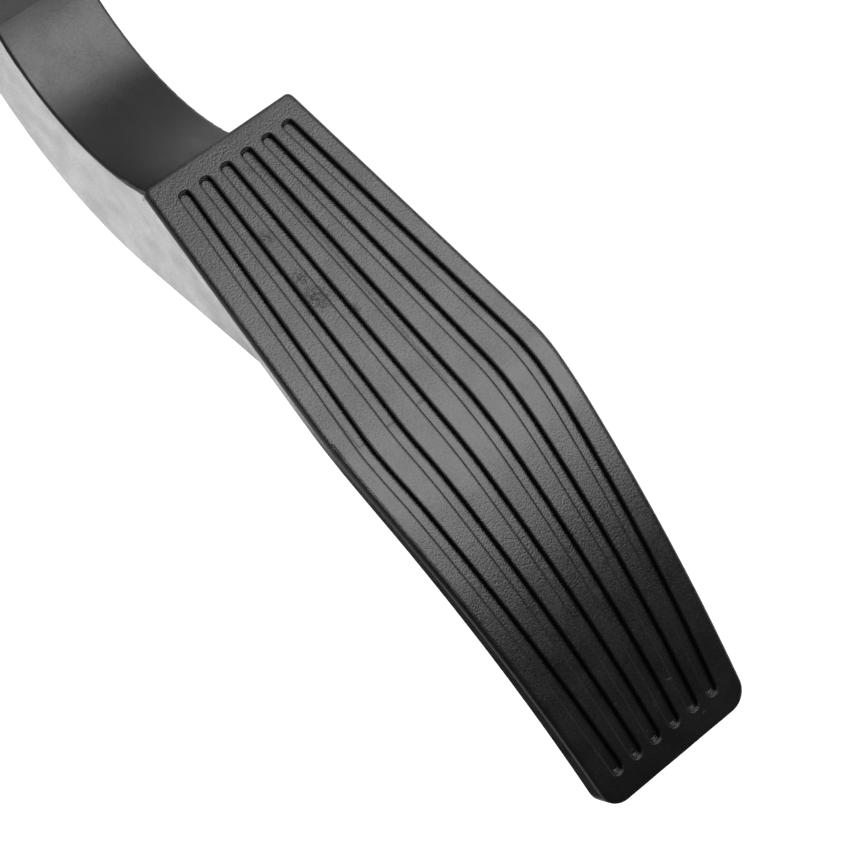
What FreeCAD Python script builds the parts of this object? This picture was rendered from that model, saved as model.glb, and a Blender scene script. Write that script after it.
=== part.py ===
import FreeCAD, Part
import math
import os

# Accelerator pedal sensor: a hanging pedal lever on a moulded housing that bolts to the bulkhead.
# Millimetres and degrees. +X is the driver's right, +Y is forward to the bulkhead and +Z is up.
# The origin is the centre of the bolt circle, on the mounting face.

# Pivot
PIVOT_Y = -42.0
PIVOT_Z = -6.0
FULL_TRAVEL = 16.0
SHAFT_RADIUS = 4.0
SHAFT_FLAT = 3.0
BUSH_WALL = 2.0
BUSH_FLANGE = 2.0
BUSH_FLANGE_THICK = 1.0
CIRCLIP_THICK = 1.0
CIRCLIP_REACH = 2.6
CIRCLIP_GROOVE = 0.7
CIRCLIP_EYE = 1.8
CIRCLIP_HOLE = 0.9
CIRCLIP_EYES_APART = 5.8
CIRCLIP_GAP = 2.2
SHAFT_END = 1.5
SHAFT_SHY = 0.6
SHAFT_CHAMFER = 0.5

# Clearances
RUNNING = 0.05
PRESSED = 0.03
SEATED = 0.1
MOVING = 0.3
END_PLAY = 0.4

# Pedal pad
PAD_TILT = 32.0
PAD_LENGTH = 160.4
PAD_TOP_RISE = 0.65
PAD_KNEE_AT = 79.3
PAD_KNEE_SPREAD = 30.0
PAD_KNEE_TURN = 15.0
PAD_TOE_EASE = 18.6
PAD_TOE_BEND = 250.0
PAD_CURVE_SPANS = 10
PAD_TOP_LEFT = 20.8
PAD_TOP_RIGHT = 18.6
PAD_WIDEST_AT = 72.0
PAD_WIDEST_LEFT = 26.65
PAD_WIDEST_RIGHT = 26.0
PAD_TOE_LEFT = 19.3
PAD_TOE_RIGHT = 19.8
PAD_LEFT_ROUND = 160.0
PAD_RIGHT_ROUND = 50.0
PAD_TOP_ROUND = 1.6
PAD_TOE_ROUND = 5.0
PAD_RIM_ROUND = 1.1
PAD_TOP_EDGE_ROUND = 0.5
PAD_WALL = 2.4
PAD_RIM = 2.9
PAD_TOE_RIM = 4.9
PAD_SKIRT_WALL = 1.8
PAD_OVERHANG = 0.3
PAD_RIB_WALL = 1.5
PAD_RIB_PITCH = 17.0

# Grooves in the pad
GROOVE_COUNT = 6
GROOVE_WIDTH = 2.7
GROOVE_DEPTH = 1.25
GROOVE_OFFSET = -0.45
GROOVE_TOP_PITCH = 5.43
GROOVE_WIDEST_PITCH = 8.03
GROOVE_TOE_PITCH = 5.31
GROOVE_TOP_MARGIN = 4.9
GROOVE_TOE_MARGIN = 6.35
GROOVE_TIP_FLAT = 0.05
GROOVE_BEND = 60.0

# Lever arm
ARM_WIDTH = 23.4
ARM_REACH = 95.0
ARM_SIDE_WALL = 2.5
ARM_FRONT_WALL = 2.6
ARM_EDGE_ROUND = 0.6
ARM_RIB_WALL = 1.8
ARM_RIB_PITCH = 14.0
ARM_RIB_INSET = 1.2
NECK_FOOT = 0.3
NECK_ABOVE_PAD = 27.0
NECK_SINK = 10.5
BACK_BEND = 65.0
BACK_ABOVE_PAD = 20.0
BACK_SINK = 32.3
BACK_TAPER = 22.5
HUB_RADIUS = 13.0
FULCRUM_RADIUS = 3.0
FULCRUM_ANGLE = 62.0
FULCRUM_LENGTH = 18.0

# Return springs
SPRING_FORWARD = 24.0
SPRING_LENGTH = 34.0
OUTER_COIL_RADIUS = 8.6
OUTER_WIRE = 2.4
OUTER_TURNS = 6.0
INNER_COIL_RADIUS = 4.9
INNER_WIRE = 1.7
INNER_TURNS = 8.0
SEAT_RING_WALL = 1.0
SEAT_RING_HEIGHT = 3.0

# Friction lever
SHOE_RADIUS = 19.7
SHOE_START = 95.0
SHOE_END = 145.0
SHOE_PROUD = 1.2
LEVER_WIDTH = 19.0
LEVER_SEAT_RISE = 5.0
LEVER_SEAT_THICK = 4.5
LEVER_SEAT_RIM = 1.4

# Housing
WALL = 3.0
FLANGE_THICK = 4.5
HOUSING_FLOOR = -46.0
REAR_WALL_BREAK = -12.0
LIP_TOP = -28.0
ROOF_ROUND = 6.0
CROWN_ROUND = 7.0
BOSS_RADIUS = 9.5
BOSS_HEIGHT = 2.0
SIDE_RIB_WALL = 2.0
SIDE_RIB_HEIGHT = 1.6
SIDE_RIB_FIRST = 30
SIDE_RIB_STEP = 40

# Bolt circle
BOLT_CIRCLE_RADIUS = 48.0
BOLT_COUNT = 3
BOLT_HOLE_RADIUS = 3.25
SLEEVE_WALL = 1.5
EAR_RADIUS = 10.0
EAR_BOSS_WALL = 3.5
EAR_DEPTH = 9.0
GUSSET_WALL = 2.5
GUSSET_REACH = 14.0
GUSSET_SPREAD = 6.0
POCKET_DEPTH = 2.0
POCKET_RIM = 3.5
POCKET_RIB = 2.2
POCKET_HUB = 9.0

# Buffers
BUFFER_THICK = 3.7
BUFFER_LOW = -44.0
BUFFER_HIGH = -33.0
BUFFER_WIDTH = 14.0
BUFFER_STEM = 2.4
BUFFER_HEAD = 3.6
BUFFER_HEAD_THICK = 2.0
BUFFER_ROUND = 1.0
BUFFER_BACKING = 1.0
POST_MARGIN = 1.0

# Sensor chamber on the left side
CHAMBER_HALF_Y = 21.0
CHAMBER_BELOW = 21.0
CHAMBER_ABOVE = 25.0
CHAMBER_ROUND = 8.0
CHAMBER_WALL = 3.2
CHAMBER_DEPTH = 7.0
SCREW_INSET = 0.5
SCREW_EAR = 4.6
SCREW_RADIUS = 1.75
SCREW_LENGTH = 11.0
SCREW_HEAD_RADIUS = 3.4
SCREW_HEAD_THICK = 2.4
SCREW_HEAD_ROUND = 0.8
SCREW_POINT = 0.9
SCREW_SOCKET = 1.3
SCREW_SOCKET_DEPTH = 1.6
SEAL_WIDTH = 1.4
SEAL_DEPTH = 1.5

# Sensor cover and its plug socket
COVER_WALL = 2.2
COVER_FOOT = 3.0
COVER_HEIGHT = 11.3
COVER_ROUND = 2.0
COVER_STEP = 0.6
SOCKET_LENGTH = 22.0
SOCKET_WIDTH = 11.4
SOCKET_WALL = 1.8
SOCKET_ROUND = 2.5
SOCKET_HEIGHT = 20.0
SOCKET_ROOT = 8.0
LATCH_WIDTH = 6.0
LATCH_HEIGHT = 1.6
LATCH_LENGTH = 5.0

# Sensor parts
ROTOR_RADIUS = 11.0
ROTOR_THICK = 4.6
MAGNET_INNER = 5.2
MAGNET_OUTER = 9.0
MAGNET_THICK = 2.6
BOARD_THICK = 1.6
BOARD_MARGIN = 0.8
CHIP_GAP = 1.4
CHIP_THICK = 1.4
CHIP_LENGTH = 5.0
CHIP_WIDTH = 4.0
CHIP_SPACING = 8.0
CAPACITOR_LENGTH = 2.0
CAPACITOR_WIDTH = 1.3
CAPACITOR_THICK = 0.9
CAPACITOR_COUNT = 4
CAPACITOR_PITCH = 6.0
POST_RADIUS = 2.0
POST_PIN_RADIUS = 1.1
POST_PIN_PROUD = 0.8
TERMINAL_COUNT = 6
TERMINAL_PITCH = 2.54
TERMINAL_WIDTH = 0.64
TERMINAL_PROUD = 9.0
TERMINAL_TAIL = 1.0
TERMINAL_DROP = 6.0

TILT = math.radians(PAD_TILT)
X_AXIS = FreeCAD.Vector(1, 0, 0)
Y_AXIS = FreeCAD.Vector(0, 1, 0)
Z_AXIS = FreeCAD.Vector(0, 0, 1)


class Plane:
    """A sketch frame: an origin, two directions across it and the direction out of it."""

    def __init__(self, origin, across, along, out):
        self.origin = origin
        self.across = across
        self.along = along
        self.out = out

    def at(self, u, v, w=0.0):
        """The point u across, v along and w out of the plane."""
        return self.origin + self.across * u + self.along * v + self.out * w


def side_plane(x):
    """The plane across the car at x, sketched in (y, z)."""
    return Plane(FreeCAD.Vector(x, 0, 0), Y_AXIS, Z_AXIS, X_AXIS)


def rounded_wire(plane, corners, level=0.0):
    """Closed outline through (u, v, radius) corners, each turned by an arc of its radius."""
    starts, ends, arcs = [], [], []
    count = len(corners)
    for index in range(count):
        before = FreeCAD.Vector(*corners[index - 1][:2], 0)
        here = FreeCAD.Vector(*corners[index][:2], 0)
        after = FreeCAD.Vector(*corners[(index + 1) % count][:2], 0)
        radius = corners[index][2]
        into = (here - before).normalize()
        away = (after - here).normalize()
        half_turn = into.getAngle(away) / 2
        reach = radius * math.tan(half_turn)
        start, end = here - into * reach, here + away * reach
        if radius > 0:
            inward = (away - into).normalize()
            middle = here + inward * (radius / math.cos(half_turn) - radius)
            points = [plane.at(p.x, p.y, level) for p in (start, middle, end)]
            arcs.append(Part.Arc(*points).toShape())
        else:
            arcs.append(None)
        starts.append(plane.at(start.x, start.y, level))
        ends.append(plane.at(end.x, end.y, level))
    edges = []
    for index in range(count):
        if arcs[index]:
            edges.append(arcs[index])
        following = starts[(index + 1) % count]
        if ends[index].distanceToPoint(following) > 1e-6:
            edges.append(Part.LineSegment(ends[index], following).toShape())
    return Part.Wire(Part.__sortEdges__(edges))


def prism(plane, corners, start, end):
    """Solid of a rounded outline between two heights out of its plane."""
    return Part.Face(rounded_wire(plane, corners, start)).extrude(plane.out * (end - start))


def cylinder_x(radius, x_from, x_to, y=PIVOT_Y, z=PIVOT_Z):
    """Round bar along X, on the pivot axis unless a place is given."""
    return Part.makeCylinder(radius, x_to - x_from, FreeCAD.Vector(x_from, y, z), X_AXIS)


def cylinder_y(radius, x, z, y_from, y_to):
    """Round bar along Y through (x, z)."""
    return Part.makeCylinder(radius, y_to - y_from, FreeCAD.Vector(x, y_from, z), Y_AXIS)


def box(x_from, x_to, y_from, y_to, z_from, z_to):
    """Block between two corners."""
    return Part.makeBox(x_to - x_from, y_to - y_from, z_to - z_from, FreeCAD.Vector(x_from, y_from, z_from))


def around_pivot(radius, degrees):
    """(y, z) at a radius and an angle from the pivot, the angle taken from forward towards up."""
    angle = math.radians(degrees)
    return PIVOT_Y + radius * math.cos(angle), PIVOT_Z + radius * math.sin(angle)


def rectangle(u_from, u_to, v_from, v_to, radius):
    """Corner list of a rounded rectangle."""
    return [(u_from, v_from, radius), (u_to, v_from, radius), (u_to, v_to, radius), (u_from, v_to, radius)]


def lean(down, out):
    """(y, z) of a point from the pad's top edge: a way down its flat and a way out of its face."""
    across = -down * math.sin(TILT) - out * math.cos(TILT)
    up = -down * math.cos(TILT) + out * math.sin(TILT)
    return across, up


# Places that follow from the sizes
NECK_BEND = ((NECK_ABOVE_PAD + NECK_FOOT) ** 2 + NECK_SINK ** 2) / (2 * NECK_SINK)
NECK_END = lean(
    -NECK_ABOVE_PAD - NECK_BEND * math.sin(TILT),
    -NECK_SINK + NECK_BEND * (1 - math.cos(TILT)),
)
BACK_END = lean(
    -BACK_ABOVE_PAD - BACK_BEND * math.sin(TILT),
    -BACK_SINK + BACK_BEND * (1 - math.cos(TILT)),
)
PAD_TOP_Y = PIVOT_Y - (NECK_END[0] + BACK_END[0]) / 2
PAD_TOP_Z = PIVOT_Z - ARM_REACH
ARM_HALF_DEPTH = (BACK_END[0] - NECK_END[0]) / 2
ARM_FRONT_Y = PIVOT_Y - ARM_HALF_DEPTH
ARM_BACK_Y = PIVOT_Y + ARM_HALF_DEPTH
PAD_X = -ARM_WIDTH / 2 - PAD_OVERHANG + PAD_TOP_LEFT
WALL_IN = ARM_WIDTH / 2 + 2 * MOVING + END_PLAY
WALL_OUT = WALL_IN + WALL
BOSS_OUT = WALL_OUT + BOSS_HEIGHT
HUB_HALF = WALL_IN - END_PLAY
BUSH_RADIUS = SHAFT_RADIUS + RUNNING + BUSH_WALL
FLANGE_OUT = BOSS_OUT + BUSH_FLANGE_THICK
FRICTION_RADIUS = SHOE_RADIUS + MOVING
SEAT_Y = PIVOT_Y + SPRING_FORWARD
SEAT_Z = PIVOT_Z + LEVER_SEAT_RISE
ROOF_IN = SEAT_Z + SPRING_LENGTH
SPRING_ROOM = OUTER_COIL_RADIUS + OUTER_WIRE / 2 + LEVER_SEAT_RIM + MOVING
LIP_IN = ARM_FRONT_Y - MOVING - BUFFER_THICK
RING_MIDDLE = (OUTER_COIL_RADIUS - OUTER_WIRE / 2 + INNER_COIL_RADIUS + INNER_WIRE / 2) / 2
CHAMBER_FACE = -(WALL_OUT + CHAMBER_DEPTH)
ROTOR_FACE = -(FLANGE_OUT + MOVING + ROTOR_THICK)
CHIP_FACE = ROTOR_FACE - CHIP_GAP
BOARD_IN = CHIP_FACE - CHIP_THICK
BOARD_OUT = BOARD_IN - BOARD_THICK
COVER_FACE = CHAMBER_FACE - COVER_HEIGHT
CHAMBER_TOP = PIVOT_Z + CHAMBER_ABOVE
SOCKET_X = COVER_FACE + SOCKET_WIDTH / 2 - SOCKET_WALL
TERMINAL_Z = CHAMBER_TOP - CHAMBER_WALL - TERMINAL_DROP

PAD_SIDE = Plane(
    FreeCAD.Vector(0, PAD_TOP_Y, PAD_TOP_Z),
    FreeCAD.Vector(0, *lean(1, 0)),
    FreeCAD.Vector(0, *lean(0, 1)),
    X_AXIS,
)


def arc_edge(plane, centre, radius, start, end):
    """Arc in a plane about a centre, between two angles in degrees."""
    points = []
    for degrees in (start, (start + end) / 2, end):
        angle = math.radians(degrees)
        points.append(plane.at(centre[0] + radius * math.cos(angle), centre[1] + radius * math.sin(angle)))
    return Part.Arc(*points).toShape()


def joined_face(edges):
    """Face of an outline whose given edges are joined end to end by straight lines."""
    chain = []
    for index, edge in enumerate(edges):
        chain.append(edge)
        leave = edge.valueAt(edge.LastParameter)
        following = edges[(index + 1) % len(edges)]
        arrive = following.valueAt(following.FirstParameter)
        if leave.distanceToPoint(arrive) > 1e-6:
            chain.append(Part.LineSegment(leave, arrive).toShape())
    return Part.Face(Part.Wire(chain))


def segment(plane, start, end):
    """Straight edge in a plane between two (u, v) points."""
    return Part.LineSegment(plane.at(*start), plane.at(*end)).toShape()


def pad_slope(along):
    """How far the pad has turned from its flat, in radians, for a way along its face."""
    past = max(along - PAD_KNEE_AT + PAD_KNEE_SPREAD / 2, 0)
    share = min(past / PAD_KNEE_SPREAD, 1)
    knee = math.radians(PAD_KNEE_TURN) * (share - math.sin(2 * math.pi * share) / (2 * math.pi))
    beyond = max(along - PAD_KNEE_AT, 0)
    eased = min(beyond, PAD_TOE_EASE)
    toe = (eased ** 2 / (2 * PAD_TOE_EASE) + beyond - eased) / PAD_TOE_BEND
    return knee + toe


def pad_place(along, depth=0.0):
    """(down, out) of a point at a way along the pad's face and a depth under it."""
    down, out = min(along, PAD_STRAIGHT), 0.0
    steps = math.ceil(max(along - PAD_STRAIGHT, 0))
    for index in range(steps):
        step = (along - PAD_STRAIGHT) / steps
        turn = pad_slope(PAD_STRAIGHT + (index + 0.5) * step)
        down += step * math.cos(turn)
        out -= step * math.sin(turn)
    turn = pad_slope(along)
    return down - depth * math.sin(turn), out - depth * math.cos(turn)


def pad_plane(along):
    """The sketch plane that touches the pad's face at a way along it."""
    turn = pad_slope(along)
    touch = PAD_SIDE.at(*pad_place(along), PAD_X)
    tangent = PAD_SIDE.across * math.cos(turn) - PAD_SIDE.along * math.sin(turn)
    normal = PAD_SIDE.across * math.sin(turn) + PAD_SIDE.along * math.cos(turn)
    return Plane(touch, X_AXIS, tangent, normal)


PAD_STRAIGHT = PAD_KNEE_AT - PAD_KNEE_SPREAD / 2
PAD_DOWN = pad_place(PAD_LENGTH)[0]
WIDEST_DOWN = pad_place(PAD_WIDEST_AT)[0]
PAD_FACE = pad_plane(0)
TOE_FACE = pad_plane(PAD_LENGTH)


def even(depth):
    """A depth under the pad's face that is the same all along it."""
    return lambda along: depth


def rim_depth(along):
    """Depth of the pad's rim, which grows from the knee to the toe."""
    share = max(along - PAD_STRAIGHT, 0) / (PAD_LENGTH - PAD_STRAIGHT)
    return PAD_RIM + (PAD_TOE_RIM - PAD_RIM) * share


def under_rim(along):
    """A depth that clears the pad's rim all along it."""
    return rim_depth(along) + MOVING


def pad_curve(start, end, depth_at):
    """Edges that follow the pad from one way along it to another, at a depth under its face."""
    def point(along):
        return PAD_SIDE.at(*pad_place(along, depth_at(along)))

    edges = []
    bent = start
    if start < PAD_STRAIGHT:
        edges.append(Part.LineSegment(point(start), point(PAD_STRAIGHT)).toShape())
        bent = PAD_STRAIGHT
    step = (end - bent) / PAD_CURVE_SPANS
    points = [point(bent + index * step) for index in range(PAD_CURVE_SPANS + 1)]
    nudge = step / PAD_CURVE_SPANS
    curve = Part.BSplineCurve()
    curve.interpolate(
        Points=points,
        InitialTangent=(point(bent + nudge) - points[0]).normalize(),
        FinalTangent=(points[-1] - point(end - nudge)).normalize(),
    )
    edges.append(curve.toShape())
    return edges


def pad_slab(start, end, top_at, bottom_at):
    """Curved slab along the pad between two depths, square at both ends and wider than the pad."""
    upper = pad_curve(start, end, top_at)
    lower = pad_curve(start, end, bottom_at)
    ends = []
    for index, side in ((0, "FirstParameter"), (-1, "LastParameter")):
        points = [edges[index].valueAt(getattr(edges[index], side)) for edges in (upper, lower)]
        ends.append(Part.LineSegment(*points).toShape())
    face = Part.Face(Part.Wire(Part.__sortEdges__(upper + lower + ends)))
    width = PAD_WIDEST_LEFT + PAD_WIDEST_RIGHT
    face.translate(FreeCAD.Vector(PAD_X - width, 0, 0))
    return face.extrude(X_AXIS * (2 * width))


def run_on(inner, outer, spare):
    """The point in line with two (x, down) points, past the outer one by a spare length."""
    share = abs(spare / (outer[1] - inner[1]))
    return tuple(near + (near - far) * share for near, far in zip(outer, inner))


def pad_column(inset=0.0):
    """Solid of the pad's outline as seen square to its flat, moved in by an inset and open at both ends."""
    corners = []
    for side, top, widest, toe, bend in (
        (-1, PAD_TOP_LEFT, PAD_WIDEST_LEFT, PAD_TOE_LEFT, PAD_LEFT_ROUND),
        (1, PAD_TOP_RIGHT, PAD_WIDEST_RIGHT, PAD_TOE_RIGHT, PAD_RIGHT_ROUND),
    ):
        top_point = (side * (top - inset), 0)
        widest_point = (side * (widest - inset), WIDEST_DOWN)
        toe_point = (side * (toe - inset), PAD_DOWN)
        flank = [
            (*run_on(widest_point, top_point, PAD_TOE_RIM), 0),
            (*widest_point, bend),
            (*run_on(widest_point, toe_point, PAD_TOE_RIM), 0),
        ]
        corners += flank if side < 0 else flank[::-1]
    return prism(PAD_FACE, corners, -PAD_DOWN / 2, PAD_TOE_RIM)


def groove(place):
    """One groove, cut square to the flat above the pad's widest place and square to the toe below it."""
    half = GROOVE_WIDTH / 2
    tip = half - GROOVE_TIP_FLAT
    stations = (GROOVE_TOP_MARGIN - PAD_TOP_RISE, PAD_WIDEST_AT, PAD_LENGTH - GROOVE_TOE_MARGIN)
    upper, widest, lower = (
        GROOVE_OFFSET + place * pitch for pitch in (GROOVE_TOP_PITCH, GROOVE_WIDEST_PITCH, GROOVE_TOE_PITCH)
    )
    halves = []
    for plane, above in ((PAD_FACE, True), (TOE_FACE, False)):
        top, bend, toe = (
            (PAD_SIDE.at(*pad_place(along)) - plane.origin).dot(plane.along) for along in stations
        )
        column = prism(plane, [
            (upper - half, top, tip),
            (upper + half, top, tip),
            (widest + half, bend, GROOVE_BEND),
            (lower + half, toe, tip),
            (lower - half, toe, tip),
            (widest - half, bend, GROOVE_BEND),
        ], -PAD_DOWN / 2, PAD_DOWN / 2)
        bounds = (-PAD_DOWN, WIDEST_DOWN) if above else (WIDEST_DOWN, 2 * PAD_DOWN)
        region = prism(PAD_FACE, rectangle(-PAD_DOWN, PAD_DOWN, *bounds, 0), -PAD_DOWN, PAD_DOWN)
        halves.append(column.common(region))
    return halves[0].fuse(halves[1])


def pad_corners(body, along, depth):
    """The two edges through the pad's thickness at one of its square ends."""
    plane = pad_plane(along)
    found = []
    for edge in body.Edges:
        offset = middle_of(edge) - plane.origin
        at_end = abs(offset.dot(plane.along)) < 0.01 and abs(offset.dot(plane.out) + depth / 2) < depth / 4
        if at_end and abs(offset.x) > PAD_TOP_RIGHT / 2:
            found.append(edge)
    return found


def pad():
    """The pad: a curved plate with a rounded rim that deepens to the toe, six grooves and ribs beneath."""
    body = pad_slab(-PAD_TOP_RISE, PAD_LENGTH, even(0), rim_depth).common(pad_column())
    body = body.makeFillet(PAD_TOE_ROUND, pad_corners(body, PAD_LENGTH, PAD_TOE_RIM))
    body = body.makeFillet(PAD_TOP_ROUND, pad_corners(body, -PAD_TOP_RISE, PAD_RIM))
    body = rounded_rim(body)
    inner = pad_slab(
        PAD_SKIRT_WALL - PAD_TOP_RISE, PAD_LENGTH - PAD_SKIRT_WALL, even(PAD_WALL), under_rim
    )
    hollow = inner.common(pad_column(PAD_SKIRT_WALL))
    half = PAD_RIB_WALL / 2
    bands = [
        rectangle(-PAD_WIDEST_LEFT, PAD_WIDEST_RIGHT, level - half, level + half, 0)
        for level in pad_rib_levels()
    ]
    side = (ARM_WIDTH - ARM_SIDE_WALL) / 2
    for middle, wall in ((-side, ARM_SIDE_WALL), (0, PAD_RIB_WALL), (side, ARM_SIDE_WALL)):
        left = middle - wall / 2 - PAD_X
        bands.append(rectangle(left, left + wall, 0, PAD_DOWN, 0))
    ribs = [prism(PAD_FACE, band, -PAD_DOWN / 2, 0) for band in bands]
    body = body.cut(hollow.cut(Part.makeCompound(ribs)))
    middle = (GROOVE_COUNT - 1) / 2
    slots = [groove(index - middle) for index in range(GROOVE_COUNT)]
    skin = pad_slab(0, PAD_LENGTH, even(-PAD_WALL), even(GROOVE_DEPTH))
    return body.cut(Part.makeCompound(slots).common(skin))


def rounded_rim(body):
    """The pad's plate with its face's edge rounded, less so along the top edge."""
    profile = Part.Wire(pad_curve(-PAD_TOP_RISE, PAD_LENGTH, even(0)))
    side_reach = PAD_TOE_LEFT - PAD_TOE_ROUND
    edges = []
    for number, edge in enumerate(body.Edges, 1):
        middle = middle_of(edge)
        foot = Part.Vertex(FreeCAD.Vector(0, middle.y, middle.z))
        down = (middle - PAD_FACE.origin).dot(PAD_FACE.along)
        at_end = down < 0 or down > PAD_DOWN - PAD_TOE_ROUND
        if profile.distToShape(foot)[0] > 0.01 or not (at_end or abs(middle.x - PAD_X) > side_reach):
            continue
        radii = []
        for point in (edge.valueAt(edge.FirstParameter), edge.valueAt(edge.LastParameter)):
            at_top = abs((point - PAD_FACE.origin).dot(PAD_FACE.along) + PAD_TOP_RISE) < 0.01
            radii.append(PAD_TOP_EDGE_ROUND if at_top else PAD_RIM_ROUND)
        edges.append((number, *radii))
    return filleted(body, edges)


def filleted(body, edges):
    """A solid with a fillet on each (edge number, radius at its start, radius at its end)."""
    document = FreeCAD.newDocument()
    source = document.addObject("Part::Feature")
    source.Shape = body
    fillet = document.addObject("Part::Fillet")
    fillet.Base = source
    fillet.Edges = edges
    document.recompute()
    shape = fillet.Shape.copy()
    FreeCAD.closeDocument(document.Name)
    return shape


def pad_rib_levels():
    """How far down the pad its cross ribs lie."""
    count = int((PAD_DOWN - PAD_RIB_PITCH / 2) / PAD_RIB_PITCH)
    return [PAD_RIB_PITCH * (index + 1) for index in range(count)]


def neck_arc(thickness, floor):
    """The neck's front curve moved in by a thickness, from a depth under the pad to the straight arm."""
    centre = (-NECK_ABOVE_PAD, NECK_BEND - NECK_SINK)
    radius = NECK_BEND + thickness
    start = -math.degrees(math.asin((centre[1] + floor) / radius))
    return arc_edge(PAD_SIDE, centre, radius, start, -90 - PAD_TILT)


def arm_blank():
    """The arm's outer form: its side outline through the full width, with rounded front edges."""
    back_centre = (-BACK_ABOVE_PAD, BACK_BEND - BACK_SINK)
    taper_start = math.radians(BACK_TAPER - 90)
    tangent = (
        back_centre[0] + BACK_BEND * math.cos(taper_start),
        back_centre[1] + BACK_BEND * math.sin(taper_start),
    )
    plate_middle = -PAD_WALL / 2
    web_end = tangent[0] + (plate_middle - tangent[1]) / math.tan(math.radians(BACK_TAPER))
    foot = NECK_FOOT + ARM_FRONT_WALL / 2
    face = joined_face([
        neck_arc(0, 0),
        segment(side_plane(0), (ARM_FRONT_Y, PIVOT_Z), (ARM_BACK_Y, PIVOT_Z)),
        arc_edge(PAD_SIDE, back_centre, BACK_BEND, -90 - PAD_TILT, BACK_TAPER - 90),
        segment(PAD_SIDE, (web_end, plate_middle), (foot, plate_middle)),
    ])
    face.translate(X_AXIS * (-ARM_WIDTH / 2))
    blank = face.extrude(X_AXIS * ARM_WIDTH)
    fronts = [edge for edge in blank.Edges if on_arm_front_edge(middle_of(edge))]
    return blank.makeFillet(ARM_EDGE_ROUND, fronts)


def on_arm_front_edge(point):
    """Whether a point lies on a long front edge of the arm's blank."""
    offset = point - PAD_SIDE.origin
    down, out = offset.dot(PAD_SIDE.across), offset.dot(PAD_SIDE.along)
    reach = math.hypot(down + NECK_ABOVE_PAD, out - NECK_BEND + NECK_SINK)
    on_front = abs(reach - NECK_BEND) < 0.01 or abs(point.y - ARM_FRONT_Y) < 0.01
    return on_front and abs(abs(point.x) - ARM_WIDTH / 2) < 0.01


def middle_of(edge):
    """The point half way along an edge."""
    return edge.valueAt((edge.FirstParameter + edge.LastParameter) / 2)


def arm_ribs(blank):
    """Cross ribs of the channel, square to its path, and the pad that the full-travel stop meets."""
    half_width = ARM_WIDTH / 2
    half = ARM_RIB_WALL / 2
    centre = PAD_SIDE.at(-NECK_ABOVE_PAD, NECK_BEND - NECK_SINK)
    reach = BACK_BEND + BACK_SINK
    step = math.degrees(ARM_RIB_PITCH / (NECK_BEND + ARM_HALF_DEPTH))
    blades = []
    for index in range(int(2 * PAD_TILT / step) + 1):
        blade = Part.makeBox(ARM_WIDTH, reach, ARM_RIB_WALL, FreeCAD.Vector(-half_width, 0, -half))
        blade.rotate(FreeCAD.Vector(), X_AXIS, -index * step)
        blade.translate(FreeCAD.Vector(0, centre.y, centre.z))
        blades.append(blade)
    for level in pad_rib_levels():
        band = rectangle(-half_width - PAD_X, half_width - PAD_X, level - half, level + half, 0)
        blades.append(prism(PAD_FACE, band, -reach, 0))
    for index in range(1, int((PIVOT_Z - HUB_RADIUS - centre.z) / ARM_RIB_PITCH) + 1):
        level = centre.z + index * ARM_RIB_PITCH
        blades.append(box(-half_width, half_width, ARM_FRONT_Y, ARM_BACK_Y, level - half, level + half))
    stop = box(
        -half_width, half_width, ARM_BACK_Y - ARM_FRONT_WALL, ARM_BACK_Y,
        BUFFER_LOW - WALL, BUFFER_HIGH + WALL,
    )
    inset = blank.translated(Y_AXIS * -ARM_RIB_INSET)
    ribs = Part.makeCompound(blades).common(blank).common(inset)
    return ribs.fuse(stop.common(blank))


def arm():
    """The swan-neck arm: a channel open to the bulkhead, with cross ribs, tapering under the pad."""
    blank = arm_blank()
    far = -BACK_SINK - BACK_BEND / 2
    channel = joined_face([
        neck_arc(ARM_FRONT_WALL, PAD_WALL),
        segment(side_plane(0), (ARM_FRONT_Y + ARM_FRONT_WALL, PIVOT_Z), (ARM_BACK_Y - far, PIVOT_Z)),
        segment(PAD_SIDE, (-BACK_BEND, far), (PAD_DOWN, far)),
        segment(PAD_SIDE, (PAD_DOWN, -PAD_WALL), (PAD_WALL, -PAD_WALL)),
    ])
    inner_half = ARM_WIDTH / 2 - ARM_SIDE_WALL
    channel.translate(X_AXIS * -inner_half)
    pocket = channel.extrude(X_AXIS * (2 * inner_half))
    return blank.cut(pocket.cut(arm_ribs(blank)))


def pedal_arm():
    """The lever in one moulding: hub, fulcrum bead, swan-neck arm and grooved pad."""
    bead_y, bead_z = around_pivot(HUB_RADIUS + SEATED, FULCRUM_ANGLE)
    hub = cylinder_x(HUB_RADIUS, -HUB_HALF, HUB_HALF)
    bead = cylinder_x(FULCRUM_RADIUS, -FULCRUM_LENGTH / 2, FULCRUM_LENGTH / 2, bead_y, bead_z)
    bore = cylinder_x(SHAFT_RADIUS + PRESSED, -WALL_IN, WALL_IN)
    return arm().multiFuse([hub, bead, pad()]).cut(bore).removeSplitter()


def pivot_shaft():
    """The steel shaft, with a flat for the rotor on the left and a circlip groove on the right."""
    left = ROTOR_FACE + SHAFT_SHY
    clip = FLANGE_OUT + END_PLAY / 2
    right = clip + CIRCLIP_THICK + SHAFT_END
    shaft = cylinder_x(SHAFT_RADIUS, left, right)
    shaft = shaft.makeChamfer(SHAFT_CHAMFER, [e for e in shaft.Edges if isinstance(e.Curve, Part.Circle)])
    flat = box(left, -FLANGE_OUT - MOVING, PIVOT_Y - SHAFT_RADIUS, PIVOT_Y + SHAFT_RADIUS,
               PIVOT_Z + SHAFT_FLAT, PIVOT_Z + SHAFT_RADIUS)
    groove_outer = cylinder_x(SHAFT_RADIUS, clip - SEATED / 2, clip + CIRCLIP_THICK + SEATED / 2)
    groove_inner = cylinder_x(SHAFT_RADIUS - CIRCLIP_GROOVE, left, right)
    return shaft.cut(flat).cut(groove_outer.cut(groove_inner))


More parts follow.
